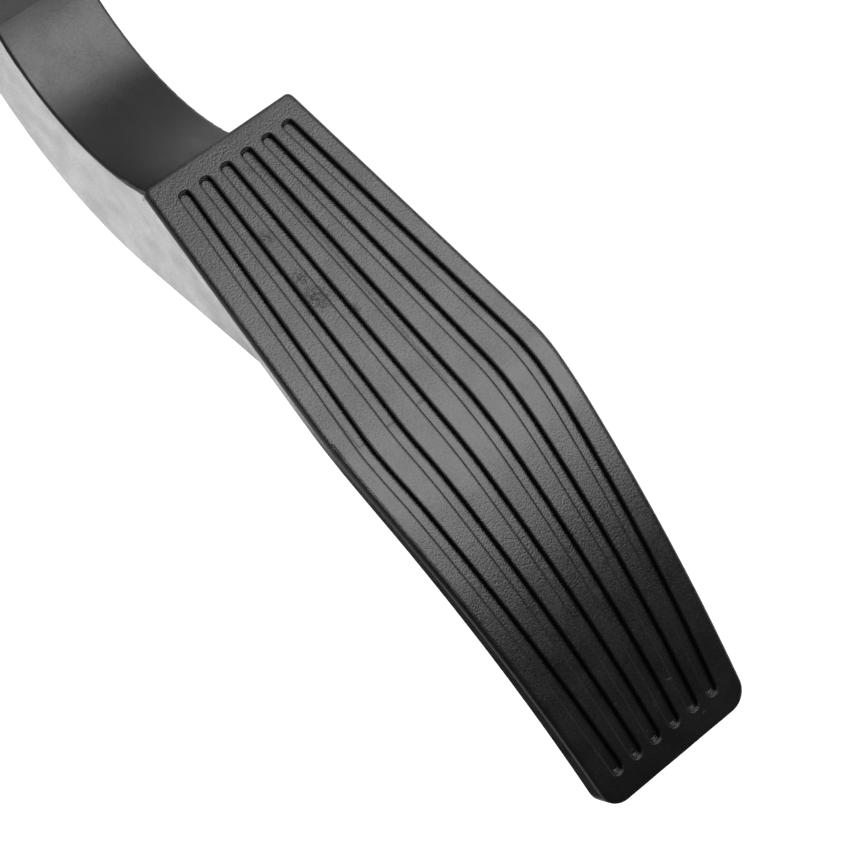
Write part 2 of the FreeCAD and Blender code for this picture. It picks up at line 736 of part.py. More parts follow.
def pivot_circlip():
    """The open retaining ring in the shaft's groove, with its two eyes."""
    start = FLANGE_OUT + END_PLAY / 2
    end = start + CIRCLIP_THICK
    inner = SHAFT_RADIUS - CIRCLIP_GROOVE + PRESSED
    outer = inner + CIRCLIP_REACH
    ring = cylinder_x(outer, start, end)
    holes = [cylinder_x(inner, start, end)]
    for side in (-1, 1):
        y, z = PIVOT_Y + side * CIRCLIP_EYES_APART / 2, PIVOT_Z + outer
        ring = ring.fuse(cylinder_x(CIRCLIP_EYE, start, end, y, z))
        holes.append(cylinder_x(CIRCLIP_HOLE, start, end, y, z))
    gap = box(
        start, end, PIVOT_Y - CIRCLIP_GAP / 2, PIVOT_Y + CIRCLIP_GAP / 2, PIVOT_Z, PIVOT_Z + 2 * outer
    )
    return ring.cut(Part.makeCompound(holes + [gap])).removeSplitter()


def pivot_bush(side):
    """A flanged bearing bush, pressed into the housing wall on one side of the lever."""
    sleeve = cylinder_x(BUSH_RADIUS, WALL_IN, BOSS_OUT)
    flange = cylinder_x(BUSH_RADIUS + BUSH_FLANGE, BOSS_OUT, FLANGE_OUT)
    bush = sleeve.fuse(flange).cut(cylinder_x(SHAFT_RADIUS + RUNNING, WALL_IN, FLANGE_OUT))
    return bush if side > 0 else bush.mirror(FreeCAD.Vector(), X_AXIS)


def shaft_end_form(radius, flat, x_from, x_to):
    """A round bar with one flat, as the rotor's end of the shaft has."""
    top = box(x_from, x_to, PIVOT_Y - radius, PIVOT_Y + radius, PIVOT_Z + flat, PIVOT_Z + radius)
    return cylinder_x(radius, x_from, x_to).cut(top)


def sensor_rotor():
    """The magnet carrier on the shaft's flat, in the sensor chamber."""
    back = -FLANGE_OUT - MOVING
    hub = cylinder_x(ROTOR_RADIUS, ROTOR_FACE, back)
    seat = cylinder_x(MAGNET_OUTER + PRESSED, ROTOR_FACE, ROTOR_FACE + MAGNET_THICK)
    seat = seat.cut(cylinder_x(MAGNET_INNER - PRESSED, ROTOR_FACE, ROTOR_FACE + MAGNET_THICK))
    bore = shaft_end_form(SHAFT_RADIUS + PRESSED, SHAFT_FLAT + PRESSED, ROTOR_FACE, back)
    return hub.cut(seat).cut(bore)


def sensor_magnet():
    """The ring magnet that the sensor chips read."""
    ring = cylinder_x(MAGNET_OUTER, ROTOR_FACE, ROTOR_FACE + MAGNET_THICK)
    return ring.cut(cylinder_x(MAGNET_INNER, ROTOR_FACE, ROTOR_FACE + MAGNET_THICK))


def seat_ring(base, height):
    """The centring ring that stands between the two springs."""
    centre = FreeCAD.Vector(0, SEAT_Y, base)
    outer = Part.makeCylinder(RING_MIDDLE + SEAT_RING_WALL / 2, height, centre)
    return outer.cut(Part.makeCylinder(RING_MIDDLE - SEAT_RING_WALL / 2, height, centre))


def fan(angles):
    """Corners of a fan about the pivot, in (y, z), through the given angles and past the shoe."""
    tips = [around_pivot(2 * SHOE_RADIUS, degrees) for degrees in angles]
    return [(PIVOT_Y, PIVOT_Z, 0)] + [(y, z, 0) for y, z in tips]


def friction_lever():
    """The lever that the springs press: it rocks on the hub's bead and rubs its shoe on the housing."""
    half = LEVER_WIDTH / 2
    plane = side_plane(0)
    crescent = cylinder_x(SHOE_RADIUS - SHOE_PROUD, -half, half)
    crescent = crescent.common(prism(plane, fan([0, 45, 90, SHOE_END]), -half, half))
    shoe = cylinder_x(SHOE_RADIUS, -half, half)
    shoe = shoe.common(prism(plane, fan([SHOE_START, SHOE_END]), -half, half))
    seat_radius = SPRING_ROOM - MOVING
    underside = SEAT_Z - LEVER_SEAT_THICK
    rim_height = LEVER_SEAT_THICK + LEVER_SEAT_RIM
    seat = Part.makeCylinder(seat_radius, rim_height, FreeCAD.Vector(0, SEAT_Y, underside))
    bridge = box(-half, half, PIVOT_Y, SEAT_Y, underside, SEAT_Z)
    room_radius = seat_radius - LEVER_SEAT_RIM + SEATED
    room = Part.makeCylinder(room_radius, SPRING_LENGTH, FreeCAD.Vector(0, SEAT_Y, SEAT_Z))
    bead_y, bead_z = around_pivot(HUB_RADIUS + SEATED, FULCRUM_ANGLE)
    notch = cylinder_x(FULCRUM_RADIUS + SEATED, -half, half, bead_y, bead_z)
    clear_hub = cylinder_x(HUB_RADIUS + MOVING, -half, half)
    body = crescent.multiFuse([shoe, seat, bridge]).cut(room)
    body = body.fuse(seat_ring(SEAT_Z, SEAT_RING_HEIGHT))
    return body.cut(clear_hub).cut(notch).removeSplitter()


def return_spring(coil_radius, wire, turns):
    """A compression spring between the friction lever's seat and the housing's roof."""
    height = SPRING_LENGTH - wire - 2 * SEATED
    helix = Part.makeHelix(height / turns, height, coil_radius)
    start = FreeCAD.Vector(coil_radius, 0, 0)
    section = Part.Wire(Part.makeCircle(wire / 2, start, Y_AXIS))
    coil = Part.Wire(helix.Edges).makePipeShell([section], True, True)
    coil.translate(FreeCAD.Vector(0, SEAT_Y, SEAT_Z + SEATED + wire / 2))
    return coil


def housing_side(outer):
    """Corners of the housing's side outline, for its outside or its inside."""
    wall = WALL if outer else 0
    back = 0 if outer else -FLANGE_THICK
    roof = ROOF_IN + wall
    crown = PIVOT_Z + FRICTION_RADIUS + wall
    spring_wall = SEAT_Y - SPRING_ROOM - wall
    rear = PIVOT_Y - FRICTION_RADIUS - wall
    lip = LIP_IN - wall
    floor = HOUSING_FLOOR if outer else HOUSING_FLOOR - WALL
    return [
        (back, floor, 0),
        (back, roof, 0),
        (spring_wall, roof, ROOF_ROUND - WALL + wall),
        (spring_wall, crown, CROWN_ROUND - wall),
        (rear, crown, FRICTION_RADIUS + wall),
        (rear, REAR_WALL_BREAK, 0),
        (lip, LIP_TOP, 0),
        (lip, floor, 0),
    ]


def chamber_outline(inset):
    """Corners of the sensor chamber's outline, in (y, z), moved in by an inset."""
    return rectangle(
        PIVOT_Y - CHAMBER_HALF_Y + inset, PIVOT_Y + CHAMBER_HALF_Y - inset,
        PIVOT_Z - CHAMBER_BELOW + inset, CHAMBER_TOP - inset, CHAMBER_ROUND - inset,
    )


def screw_places():
    """(y, z) of the four cover screws, just outside the chamber's rounded corners."""
    places = []
    for y in (PIVOT_Y - CHAMBER_HALF_Y + SCREW_INSET, PIVOT_Y + CHAMBER_HALF_Y - SCREW_INSET):
        for z in (PIVOT_Z - CHAMBER_BELOW + SCREW_INSET, CHAMBER_TOP - SCREW_INSET):
            places.append((y, z))
    return places


def bolt_places():
    """(x, z) of the mounting bolts, the first one at the top."""
    places = []
    for index in range(BOLT_COUNT):
        angle = math.radians(90 + index * 360 / BOLT_COUNT)
        places.append((BOLT_CIRCLE_RADIUS * math.cos(angle), BOLT_CIRCLE_RADIUS * math.sin(angle)))
    return places


def flange_prism(inset, depth):
    """The flange's rounded triangle about the bolts, moved in by an inset, from its face to a depth."""
    plane = Plane(FreeCAD.Vector(), X_AXIS, Z_AXIS, Y_AXIS * -1)
    stretch = 1 + (EAR_RADIUS - inset) / math.cos(math.pi / BOLT_COUNT) / BOLT_CIRCLE_RADIUS
    corners = [(x * stretch, z * stretch, EAR_RADIUS - inset) for x, z in bolt_places()]
    return prism(plane, corners, 0, depth)


def flange_pockets():
    """Shallow cores in the flange's mounting face, between ribs that run out from its middle."""
    reach = 2 * BOLT_CIRCLE_RADIUS
    kept = [cylinder_y(POCKET_HUB, 0, 0, -POCKET_DEPTH, 0)]
    for x, z in bolt_places():
        kept.append(cylinder_y(EAR_RADIUS, x, z, -POCKET_DEPTH, 0))
    for index in range(2 * BOLT_COUNT):
        rib = box(-POCKET_RIB / 2, POCKET_RIB / 2, -POCKET_DEPTH, 0, 0, reach)
        rib.rotate(FreeCAD.Vector(), Y_AXIS, index * 180 / BOLT_COUNT)
        kept.append(rib)
    return flange_prism(POCKET_RIM, POCKET_DEPTH).cut(Part.makeCompound(kept))


def mounting_flange():
    """The flange plate, its corners round about the bolts, with a boss and gussets at each bolt."""
    pieces = [flange_prism(0, FLANGE_THICK)]
    for x, z in bolt_places():
        pieces.append(cylinder_y(BOLT_HOLE_RADIUS + SLEEVE_WALL + EAR_BOSS_WALL, x, z, -EAR_DEPTH, 0))
    reach = BOLT_CIRCLE_RADIUS * math.cos(math.pi / 2 - math.pi / BOLT_COUNT)
    level = -BOLT_CIRCLE_RADIUS / 2
    roof = ROOF_IN + WALL
    wedge = [
        (WALL_IN, 0, 0), (reach, 0, 0), (reach, -EAR_DEPTH, 0),
        (WALL_OUT, -GUSSET_REACH, 0), (WALL_IN, -GUSSET_REACH, 0),
    ]
    fin = [
        (0, roof - WALL, 0), (-GUSSET_REACH, roof - WALL, 0), (-GUSSET_REACH, roof, 0),
        (-EAR_DEPTH, BOLT_CIRCLE_RADIUS, 0), (0, BOLT_CIRCLE_RADIUS, 0),
    ]
    for side in (-1, 1):
        gusset_plane = Plane(FreeCAD.Vector(0, 0, level - GUSSET_WALL / 2), X_AXIS * side, Y_AXIS, Z_AXIS)
        for shift in (-1, 1):
            brace = prism(gusset_plane, wedge, 0, GUSSET_WALL)
            brace.translate(Z_AXIS * (shift * GUSSET_SPREAD))
            pieces.append(brace)
        upright = side_plane(side * GUSSET_SPREAD - GUSSET_WALL / 2)
        pieces.append(prism(upright, fin, 0, GUSSET_WALL))
    return pieces


def side_ribs():
    """Ribs that run out from the pivot boss over the housing's right wall, and the wall's rim."""
    plane = side_plane(0)
    proud = WALL_OUT + SIDE_RIB_HEIGHT
    half = SIDE_RIB_WALL / 2
    blades = []
    for degrees in range(SIDE_RIB_FIRST, 360, SIDE_RIB_STEP):
        blade = box(WALL_IN, proud, 0, 2 * CHAMBER_HALF_Y, -half, half)
        blade.rotate(FreeCAD.Vector(), X_AXIS, degrees)
        blade.translate(FreeCAD.Vector(0, PIVOT_Y, PIVOT_Z))
        blades.append(blade)
    within = prism(plane, housing_side(True), WALL_IN, proud)
    rim = within.cut(prism(plane, housing_side(False), WALL_IN, proud))
    return Part.makeCompound(blades).common(within).fuse(rim)


def stop_line(z):
    """y of the arm's back face at full travel, at a height within the housing."""
    turn = math.radians(FULL_TRAVEL)
    return PIVOT_Y + (ARM_HALF_DEPTH - (z - PIVOT_Z) * math.sin(turn)) / math.cos(turn)


STOP_MIDDLE = (BUFFER_LOW + BUFFER_HIGH) / 2
POST_Y = stop_line(STOP_MIDDLE) + MOVING + BUFFER_THICK + BUFFER_BACKING


def housing():
    """The one-piece housing: walls, roof, friction surface, flange, sensor chamber and stops."""
    plane = side_plane(0)
    shell = prism(plane, housing_side(True), -WALL_OUT, WALL_OUT)
    tub = [prism(plane, chamber_outline(0), CHAMBER_FACE, -WALL_IN)]
    for y, z in screw_places():
        tub.append(cylinder_x(SCREW_EAR, CHAMBER_FACE, -WALL_IN, y, z))
    body = shell.multiFuse(mounting_flange() + tub + [side_ribs(), cylinder_x(BOSS_RADIUS, 0, BOSS_OUT)])
    body = body.cut(prism(plane, housing_side(False), -WALL_IN, WALL_IN))
    body = body.cut(prism(plane, chamber_outline(CHAMBER_WALL), CHAMBER_FACE, -WALL_OUT))
    half = BUFFER_WIDTH / 2 + POST_MARGIN
    post = box(
        -half, half, POST_Y, -FLANGE_THICK / 2, BUFFER_LOW - POST_MARGIN, BUFFER_HIGH + POST_MARGIN
    )
    roof_ring = seat_ring(ROOF_IN - SEAT_RING_HEIGHT, SEAT_RING_HEIGHT + WALL / 2)
    body = body.multiFuse([cylinder_x(BOSS_RADIUS, -BOSS_OUT, -WALL_IN), post, roof_ring])
    holes = [cylinder_x(BUSH_RADIUS + PRESSED, -BOSS_OUT, BOSS_OUT), flange_pockets(), seal_ring(0)]
    for x, z in bolt_places():
        holes.append(cylinder_y(BOLT_HOLE_RADIUS + SLEEVE_WALL + PRESSED, x, z, -EAR_DEPTH, 0))
    screw_end = CHAMBER_FACE - COVER_FOOT + SCREW_LENGTH + SEATED
    for y, z in screw_places():
        holes.append(cylinder_x(SCREW_RADIUS + SEATED, CHAMBER_FACE, screw_end, y, z))
    stem = BUFFER_STEM + SEATED
    holes.append(cylinder_y(stem, 0, STOP_MIDDLE, LIP_IN - WALL, LIP_IN))
    holes.append(cylinder_y(stem, 0, STOP_MIDDLE, POST_Y, POST_Y + WALL + SEATED))
    return body.cut(Part.makeCompound(holes)).removeSplitter()


def seal_ring(slack):
    """The seal's path in the chamber rim, drawn in by a slack all round."""
    inset = (CHAMBER_WALL - SEAL_WIDTH) / 2 + slack
    outset = inset + SEAL_WIDTH - 2 * slack
    floor = CHAMBER_FACE + SEAL_DEPTH - slack
    outer = prism(side_plane(0), chamber_outline(inset), CHAMBER_FACE, floor)
    return outer.cut(prism(side_plane(0), chamber_outline(outset), CHAMBER_FACE, floor))


def sensor_cover():
    """The cover of the sensor chamber, with board posts and the plug socket in one moulding."""
    plane = side_plane(0)
    foot_face = CHAMBER_FACE - COVER_FOOT
    floor = COVER_FACE + COVER_WALL
    foot = [prism(plane, chamber_outline(0), foot_face, CHAMBER_FACE)]
    holes = []
    for y, z in screw_places():
        foot.append(cylinder_x(SCREW_EAR, foot_face, CHAMBER_FACE, y, z))
        holes.append(cylinder_x(SCREW_RADIUS + MOVING, foot_face, CHAMBER_FACE, y, z))
        holes.append(cylinder_x(SCREW_HEAD_RADIUS + SEATED, COVER_FACE, foot_face, y, z))
    dome = prism(plane, chamber_outline(COVER_STEP), COVER_FACE, CHAMBER_FACE)
    dome = dome.makeFillet(COVER_ROUND, [e for e in dome.Edges if e.BoundBox.XMax < COVER_FACE + 0.01])
    body = dome.multiFuse(foot + [socket_block()])
    body = body.cut(prism(plane, chamber_outline(CHAMBER_WALL), floor, CHAMBER_FACE))
    body = body.cut(socket_hollow())
    posts = []
    for y, z in post_places():
        posts.append(cylinder_x(POST_RADIUS, floor, BOARD_OUT, y, z))
        posts.append(cylinder_x(POST_PIN_RADIUS, floor, BOARD_IN + POST_PIN_PROUD, y, z))
    body = body.multiFuse(posts)
    slot = TERMINAL_WIDTH / 2 + PRESSED
    for y in terminal_places():
        holes.append(box(
            SOCKET_X - slot, SOCKET_X + slot, y - slot, y + slot, CHAMBER_TOP - CHAMBER_WALL, CHAMBER_TOP
        ))
    return body.cut(Part.makeCompound(holes)).removeSplitter()


def socket_plane(level):
    """A level plane at a height, sketched from the middle of the plug socket."""
    return Plane(FreeCAD.Vector(SOCKET_X, PIVOT_Y, level), X_AXIS, Y_AXIS, Z_AXIS)


def socket_block():
    """The plug socket's outer form with its latch."""
    half_x, half_y = SOCKET_WIDTH / 2, SOCKET_LENGTH / 2
    outline = rectangle(-half_x, half_x, -half_y, half_y, SOCKET_ROUND)
    block = prism(socket_plane(CHAMBER_TOP), outline, -SOCKET_ROOT, SOCKET_HEIGHT)
    ramp_plane = Plane(
        FreeCAD.Vector(SOCKET_X - half_x, PIVOT_Y - LATCH_WIDTH / 2, CHAMBER_TOP), X_AXIS, Z_AXIS, Y_AXIS
    )
    top = SOCKET_HEIGHT - SOCKET_ROUND
    ramp = [(0, top - LATCH_LENGTH, 0), (-LATCH_HEIGHT, top - LATCH_LENGTH, 0), (0, top, 0)]
    return block.fuse(prism(ramp_plane, ramp, 0, LATCH_WIDTH))


def socket_hollow():
    """The room inside the plug socket."""
    half_x, half_y = SOCKET_WIDTH / 2 - SOCKET_WALL, SOCKET_LENGTH / 2 - SOCKET_WALL
    outline = rectangle(-half_x, half_x, -half_y, half_y, SOCKET_ROUND - SOCKET_WALL)
    return prism(socket_plane(CHAMBER_TOP), outline, 0, SOCKET_HEIGHT)


def post_places():
    """(y, z) of the four posts that carry the sensor board."""
    inset = CHAMBER_WALL + BOARD_MARGIN + 2 * POST_RADIUS
    half = CHAMBER_HALF_Y - inset
    low, high = PIVOT_Z - CHAMBER_BELOW + inset, CHAMBER_TOP - inset
    return [(PIVOT_Y + side * half, z) for side in (-1, 1) for z in (low, high)]


def terminal_places():
    """y of each terminal, in one row along the socket."""
    middle = (TERMINAL_COUNT - 1) / 2
    return [PIVOT_Y + (index - middle) * TERMINAL_PITCH for index in range(TERMINAL_COUNT)]


def terminal(y):
    """One square pin: it stands in the socket and turns in to the board."""
    half = TERMINAL_WIDTH / 2
    plane = Plane(FreeCAD.Vector(0, y - half, 0), X_AXIS, Z_AXIS, Y_AXIS)
    top = CHAMBER_TOP + TERMINAL_PROUD
    tail = BOARD_IN + TERMINAL_TAIL
    corners = [
        (SOCKET_X - half, top, 0),
        (SOCKET_X + half, top, 0),
        (SOCKET_X + half, TERMINAL_Z + half, half),
        (tail, TERMINAL_Z + half, 0),
        (tail, TERMINAL_Z - half, 0),
        (SOCKET_X - half, TERMINAL_Z - half, 3 * half),
    ]
    return prism(plane, corners, 0, TERMINAL_WIDTH)


def sensor_board():
    """The sensor's circuit board, with holes for its posts and terminals."""
    board = prism(side_plane(0), chamber_outline(CHAMBER_WALL + BOARD_MARGIN), BOARD_OUT, BOARD_IN)
    holes = [cylinder_x(POST_PIN_RADIUS + SEATED, BOARD_OUT, BOARD_IN, y, z) for y, z in post_places()]
    slot = TERMINAL_WIDTH / 2 + SEATED
    for y in terminal_places():
        holes.append(box(BOARD_OUT, BOARD_IN, y - slot, y + slot, TERMINAL_Z - slot, TERMINAL_Z + slot))
    return board.cut(Part.makeCompound(holes))


def hall_sensor(side):
    """One of the two sensor chips, on the board's face towards the magnet."""
    y = PIVOT_Y + side * CHIP_SPACING / 2
    half_y, half_z = CHIP_WIDTH / 2, CHIP_LENGTH / 2
    chip = box(BOARD_IN, CHIP_FACE, y - half_y, y + half_y, PIVOT_Z - half_z, PIVOT_Z + half_z)
    return chip.makeChamfer(CHIP_THICK / 4, [e for e in chip.Edges if e.BoundBox.XMin > CHIP_FACE - 0.01])


def board_capacitor(index):
    """One of the row of capacitors under the sensor chips."""
    middle = (CAPACITOR_COUNT - 1) / 2
    y = PIVOT_Y + (index - middle) * CAPACITOR_PITCH
    z = PIVOT_Z - ROTOR_RADIUS - CAPACITOR_WIDTH - MOVING
    half_y, half_z = CAPACITOR_LENGTH / 2, CAPACITOR_WIDTH / 2
    return box(BOARD_IN, BOARD_IN + CAPACITOR_THICK, y - half_y, y + half_y, z - half_z, z + half_z)


def cover_screw(y, z):
    """A self-tapping screw with a pan head and a driver recess."""
    under_head = CHAMBER_FACE - COVER_FOOT
    top = under_head - SCREW_HEAD_THICK
    head = cylinder_x(SCREW_HEAD_RADIUS, top, under_head, y, z)
    head = head.makeFillet(SCREW_HEAD_ROUND, [e for e in head.Edges if e.BoundBox.XMax < top + 0.01])
    end = under_head + SCREW_LENGTH
    shank = cylinder_x(SCREW_RADIUS, under_head, end, y, z)
    shank = shank.makeChamfer(SCREW_POINT, [e for e in shank.Edges if e.BoundBox.XMin > end - 0.01])
    recess = cylinder_x(SCREW_SOCKET, top, top + SCREW_SOCKET_DEPTH, y, z)
    return head.fuse(shank).cut(recess)


def mount_bush(x, z):
    """A steel sleeve that takes the clamping load of one mounting bolt."""
    sleeve = cylinder_y(BOLT_HOLE_RADIUS + SLEEVE_WALL, x, z, -EAR_DEPTH, 0)
    return sleeve.cut(cylinder_y(BOLT_HOLE_RADIUS, x, z, -EAR_DEPTH, 0))


def rest_buffer():
    """The rubber block that the arm rests on, buttoned through the housing's rear lip."""
    half = BUFFER_WIDTH / 2
    front = LIP_IN + BUFFER_THICK
    block = box(-half, half, LIP_IN, front, BUFFER_LOW, BUFFER_HIGH)
    block = block.makeFillet(BUFFER_ROUND, [e for e in block.Edges if e.BoundBox.YMin > front - 0.01])
    outside = LIP_IN - WALL
    stem = cylinder_y(BUFFER_STEM, 0, STOP_MIDDLE, outside, LIP_IN)
    end = FreeCAD.Vector(0, outside - BUFFER_HEAD_THICK, STOP_MIDDLE)
    head = Part.makeCone(BUFFER_STEM, BUFFER_HEAD, BUFFER_HEAD_THICK, end, Y_AXIS)
    return block.multiFuse([stem, head])


def full_travel_buffer():
    """The rubber wedge on the housing's post that ends the pedal's travel, square to the arm there."""
    half = BUFFER_WIDTH / 2
    wedge = [
        (POST_Y, BUFFER_LOW, 0),
        (POST_Y, BUFFER_HIGH, 0),
        (stop_line(BUFFER_HIGH) + MOVING, BUFFER_HIGH, BUFFER_ROUND),
        (stop_line(BUFFER_LOW) + MOVING, BUFFER_LOW, BUFFER_ROUND),
    ]
    block = prism(side_plane(0), wedge, -half, half)
    return block.fuse(cylinder_y(BUFFER_STEM, 0, STOP_MIDDLE, POST_Y, POST_Y + WALL))


def pieces():
    """Every piece of the pedal by name."""
    made = {
        "pedal_arm": pedal_arm(),
        "pivot_shaft": pivot_shaft(),
        "pivot_circlip": pivot_circlip(),
        "pivot_bush_left": pivot_bush(-1),
        "pivot_bush_right": pivot_bush(1),
        "friction_lever": friction_lever(),
        "return_spring_outer": return_spring(OUTER_COIL_RADIUS, OUTER_WIRE, OUTER_TURNS),
        "return_spring_inner": return_spring(INNER_COIL_RADIUS, INNER_WIRE, INNER_TURNS),
        "housing": housing(),
        "rest_buffer": rest_buffer(),
        "full_travel_buffer": full_travel_buffer(),
        "sensor_rotor": sensor_rotor(),
        "sensor_magnet": sensor_magnet(),
        "sensor_board": sensor_board(),
        "sensor_cover": sensor_cover(),
        "cover_seal": seal_ring(PRESSED),
        "cover_screws": Part.makeCompound([cover_screw(y, z) for y, z in screw_places()]),
    }
    for name, (x, z) in zip(("top", "left", "right"), bolt_places()):
        made["mount_bush_" + name] = mount_bush(x, z)
    for name, side in (("front", 1), ("rear", -1)):
        made["hall_sensor_" + name] = hall_sensor(side)
    for index, y in enumerate(terminal_places()):
        made["terminal_" + str(index + 1)] = terminal(y)
    for index in range(CAPACITOR_COUNT):
        made["board_capacitor_" + str(index + 1)] = board_capacitor(index)
    return made


if __name__ == "__main__":
    os.makedirs("parts", exist_ok=True)
    for name, shape in pieces().items():
        shape.exportStep("parts/" + name + ".step")
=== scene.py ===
"""Looks of a hanging accelerator pedal with its angle sensor: finishes, small pieces and studio.

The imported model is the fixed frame. Metres and degrees; +X is the driver's right, +Y is forward to
the bulkhead and +Z is up. Sizes of made pieces are worked out from the frame's own boxes.
"""

import logging
import math
from dataclasses import dataclass, field
from enum import Enum
from typing import Any, Callable

import bpy
from bpy.types import ID, Material, Node, NodeSocket, NodeTree, Object
from mathutils import Matrix, Vector

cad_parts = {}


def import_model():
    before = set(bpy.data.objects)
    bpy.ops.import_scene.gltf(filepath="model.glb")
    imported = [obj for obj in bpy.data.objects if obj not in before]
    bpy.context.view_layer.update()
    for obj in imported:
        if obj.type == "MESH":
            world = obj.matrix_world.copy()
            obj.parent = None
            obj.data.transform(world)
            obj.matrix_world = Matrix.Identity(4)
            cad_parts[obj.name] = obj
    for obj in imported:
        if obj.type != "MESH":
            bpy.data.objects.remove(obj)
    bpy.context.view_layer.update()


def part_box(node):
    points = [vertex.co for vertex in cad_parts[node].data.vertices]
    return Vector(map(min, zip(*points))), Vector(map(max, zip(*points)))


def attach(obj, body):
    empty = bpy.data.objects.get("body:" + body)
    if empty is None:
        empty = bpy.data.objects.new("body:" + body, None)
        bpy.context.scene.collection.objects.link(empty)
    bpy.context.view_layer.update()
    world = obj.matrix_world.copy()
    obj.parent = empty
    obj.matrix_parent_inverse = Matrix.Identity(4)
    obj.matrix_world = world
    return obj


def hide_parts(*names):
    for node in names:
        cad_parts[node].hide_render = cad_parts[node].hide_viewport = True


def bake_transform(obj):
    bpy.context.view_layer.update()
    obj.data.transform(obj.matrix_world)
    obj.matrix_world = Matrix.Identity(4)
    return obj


MM = 0.001
BEVEL_SAMPLES = 8
CLOUD_DETAIL = 3.0
GRAIN_SPREAD = 0.3
SRGB_STEP, SRGB_SLOPE, SRGB_OFFSET, SRGB_POWER = 0.04045, 12.92, 0.055, 2.4
WHITE = "#ffffff"
MATH, VECTOR_MATH = "ShaderNodeMath", "ShaderNodeVectorMath"
MAP_RANGE, NOISE = "ShaderNodeMapRange", "ShaderNodeTexNoise"
SET_POSITION = "GeometryNodeSetPosition"
SQUARE = ((-1, -1), (1, -1), (1, 1), (-1, 1))
LOG = logging.getLogger("pedal")
Point = tuple[float, float, float]


class Body(Enum):
    """The two bodies of the pedal module."""

    HOUSING = "housing"
    PEDAL = "pedal"


class Working(Enum):
    """How a metal piece was made: how its marks are packed along each axis."""

    TURNED = (1.0, 0.05, 0.05)
    DRAWN = (1.0, 1.0, 0.08)
    PLATED = (1.0, 1.0, 1.0)
    SINTERED = (1.3, 1.3, 1.3)


def linear(code: str) -> tuple[float, float, float, float]:
    """Turns an sRGB hex colour to linear light.

    Args:
        code: six hex digits after a number sign.

    Returns:
        Red, green, blue and an alpha of one.
    """
    channels = []
    for start in (1, 3, 5):
        value = int(code[start:start + 2], 16) / 255
        if value <= SRGB_STEP:
            channels.append(value / SRGB_SLOPE)
        else:
            channels.append(((value + SRGB_OFFSET) / (1 + SRGB_OFFSET)) ** SRGB_POWER)
    return channels[0], channels[1], channels[2], 1.0


def per_metre(size_mm: float) -> float:
    """Scale of a texture whose features are as wide as the given millimetres."""
    return 1.0 / (size_mm * MM)


def add_node(tree: NodeTree, kind: str, inputs: dict[Any, Any] | None = None,
             **settings: Any) -> Node:
    """Adds one node with its settings, values and links.

    Args:
        tree: the tree that takes the node.
        kind: the node's type name.
        inputs: what each input takes, by name or number: a value, a socket or a node.
        **settings: attributes set on the node itself.

    Returns:
        The new node.
    """
    node = tree.nodes.new(kind)
    for name, value in settings.items():
        setattr(node, name, value)
    for key, value in (inputs or {}).items():
        named = [socket for socket in node.inputs if socket.enabled and socket.name == key]
        socket = named[0] if named else node.inputs[key]
        if isinstance(value, Node):
            value = [output for output in value.outputs if output.enabled][0]
        if isinstance(value, NodeSocket):
            tree.links.new(value, socket)
        else:
            socket.default_value = value
    return node


def shown(name: str, data: ID) -> Object:
    """Puts a new object that holds the given mesh, light or camera into the scene."""
    item = bpy.data.objects.new(name, data)
    bpy.context.scene.collection.objects.link(item)
    return item


@dataclass(frozen=True)
class Cloud:
    """Cloudy patches that go between two values.

    Attributes:
        size_mm: width of a patch.
        low: the lower end of the values.
        high: the upper end of the values.
        spread: half the part of the noise that the values are spread over.
    """

    size_mm: float
    low: float = 0.0
    high: float = 1.0
    spread: float = 0.15


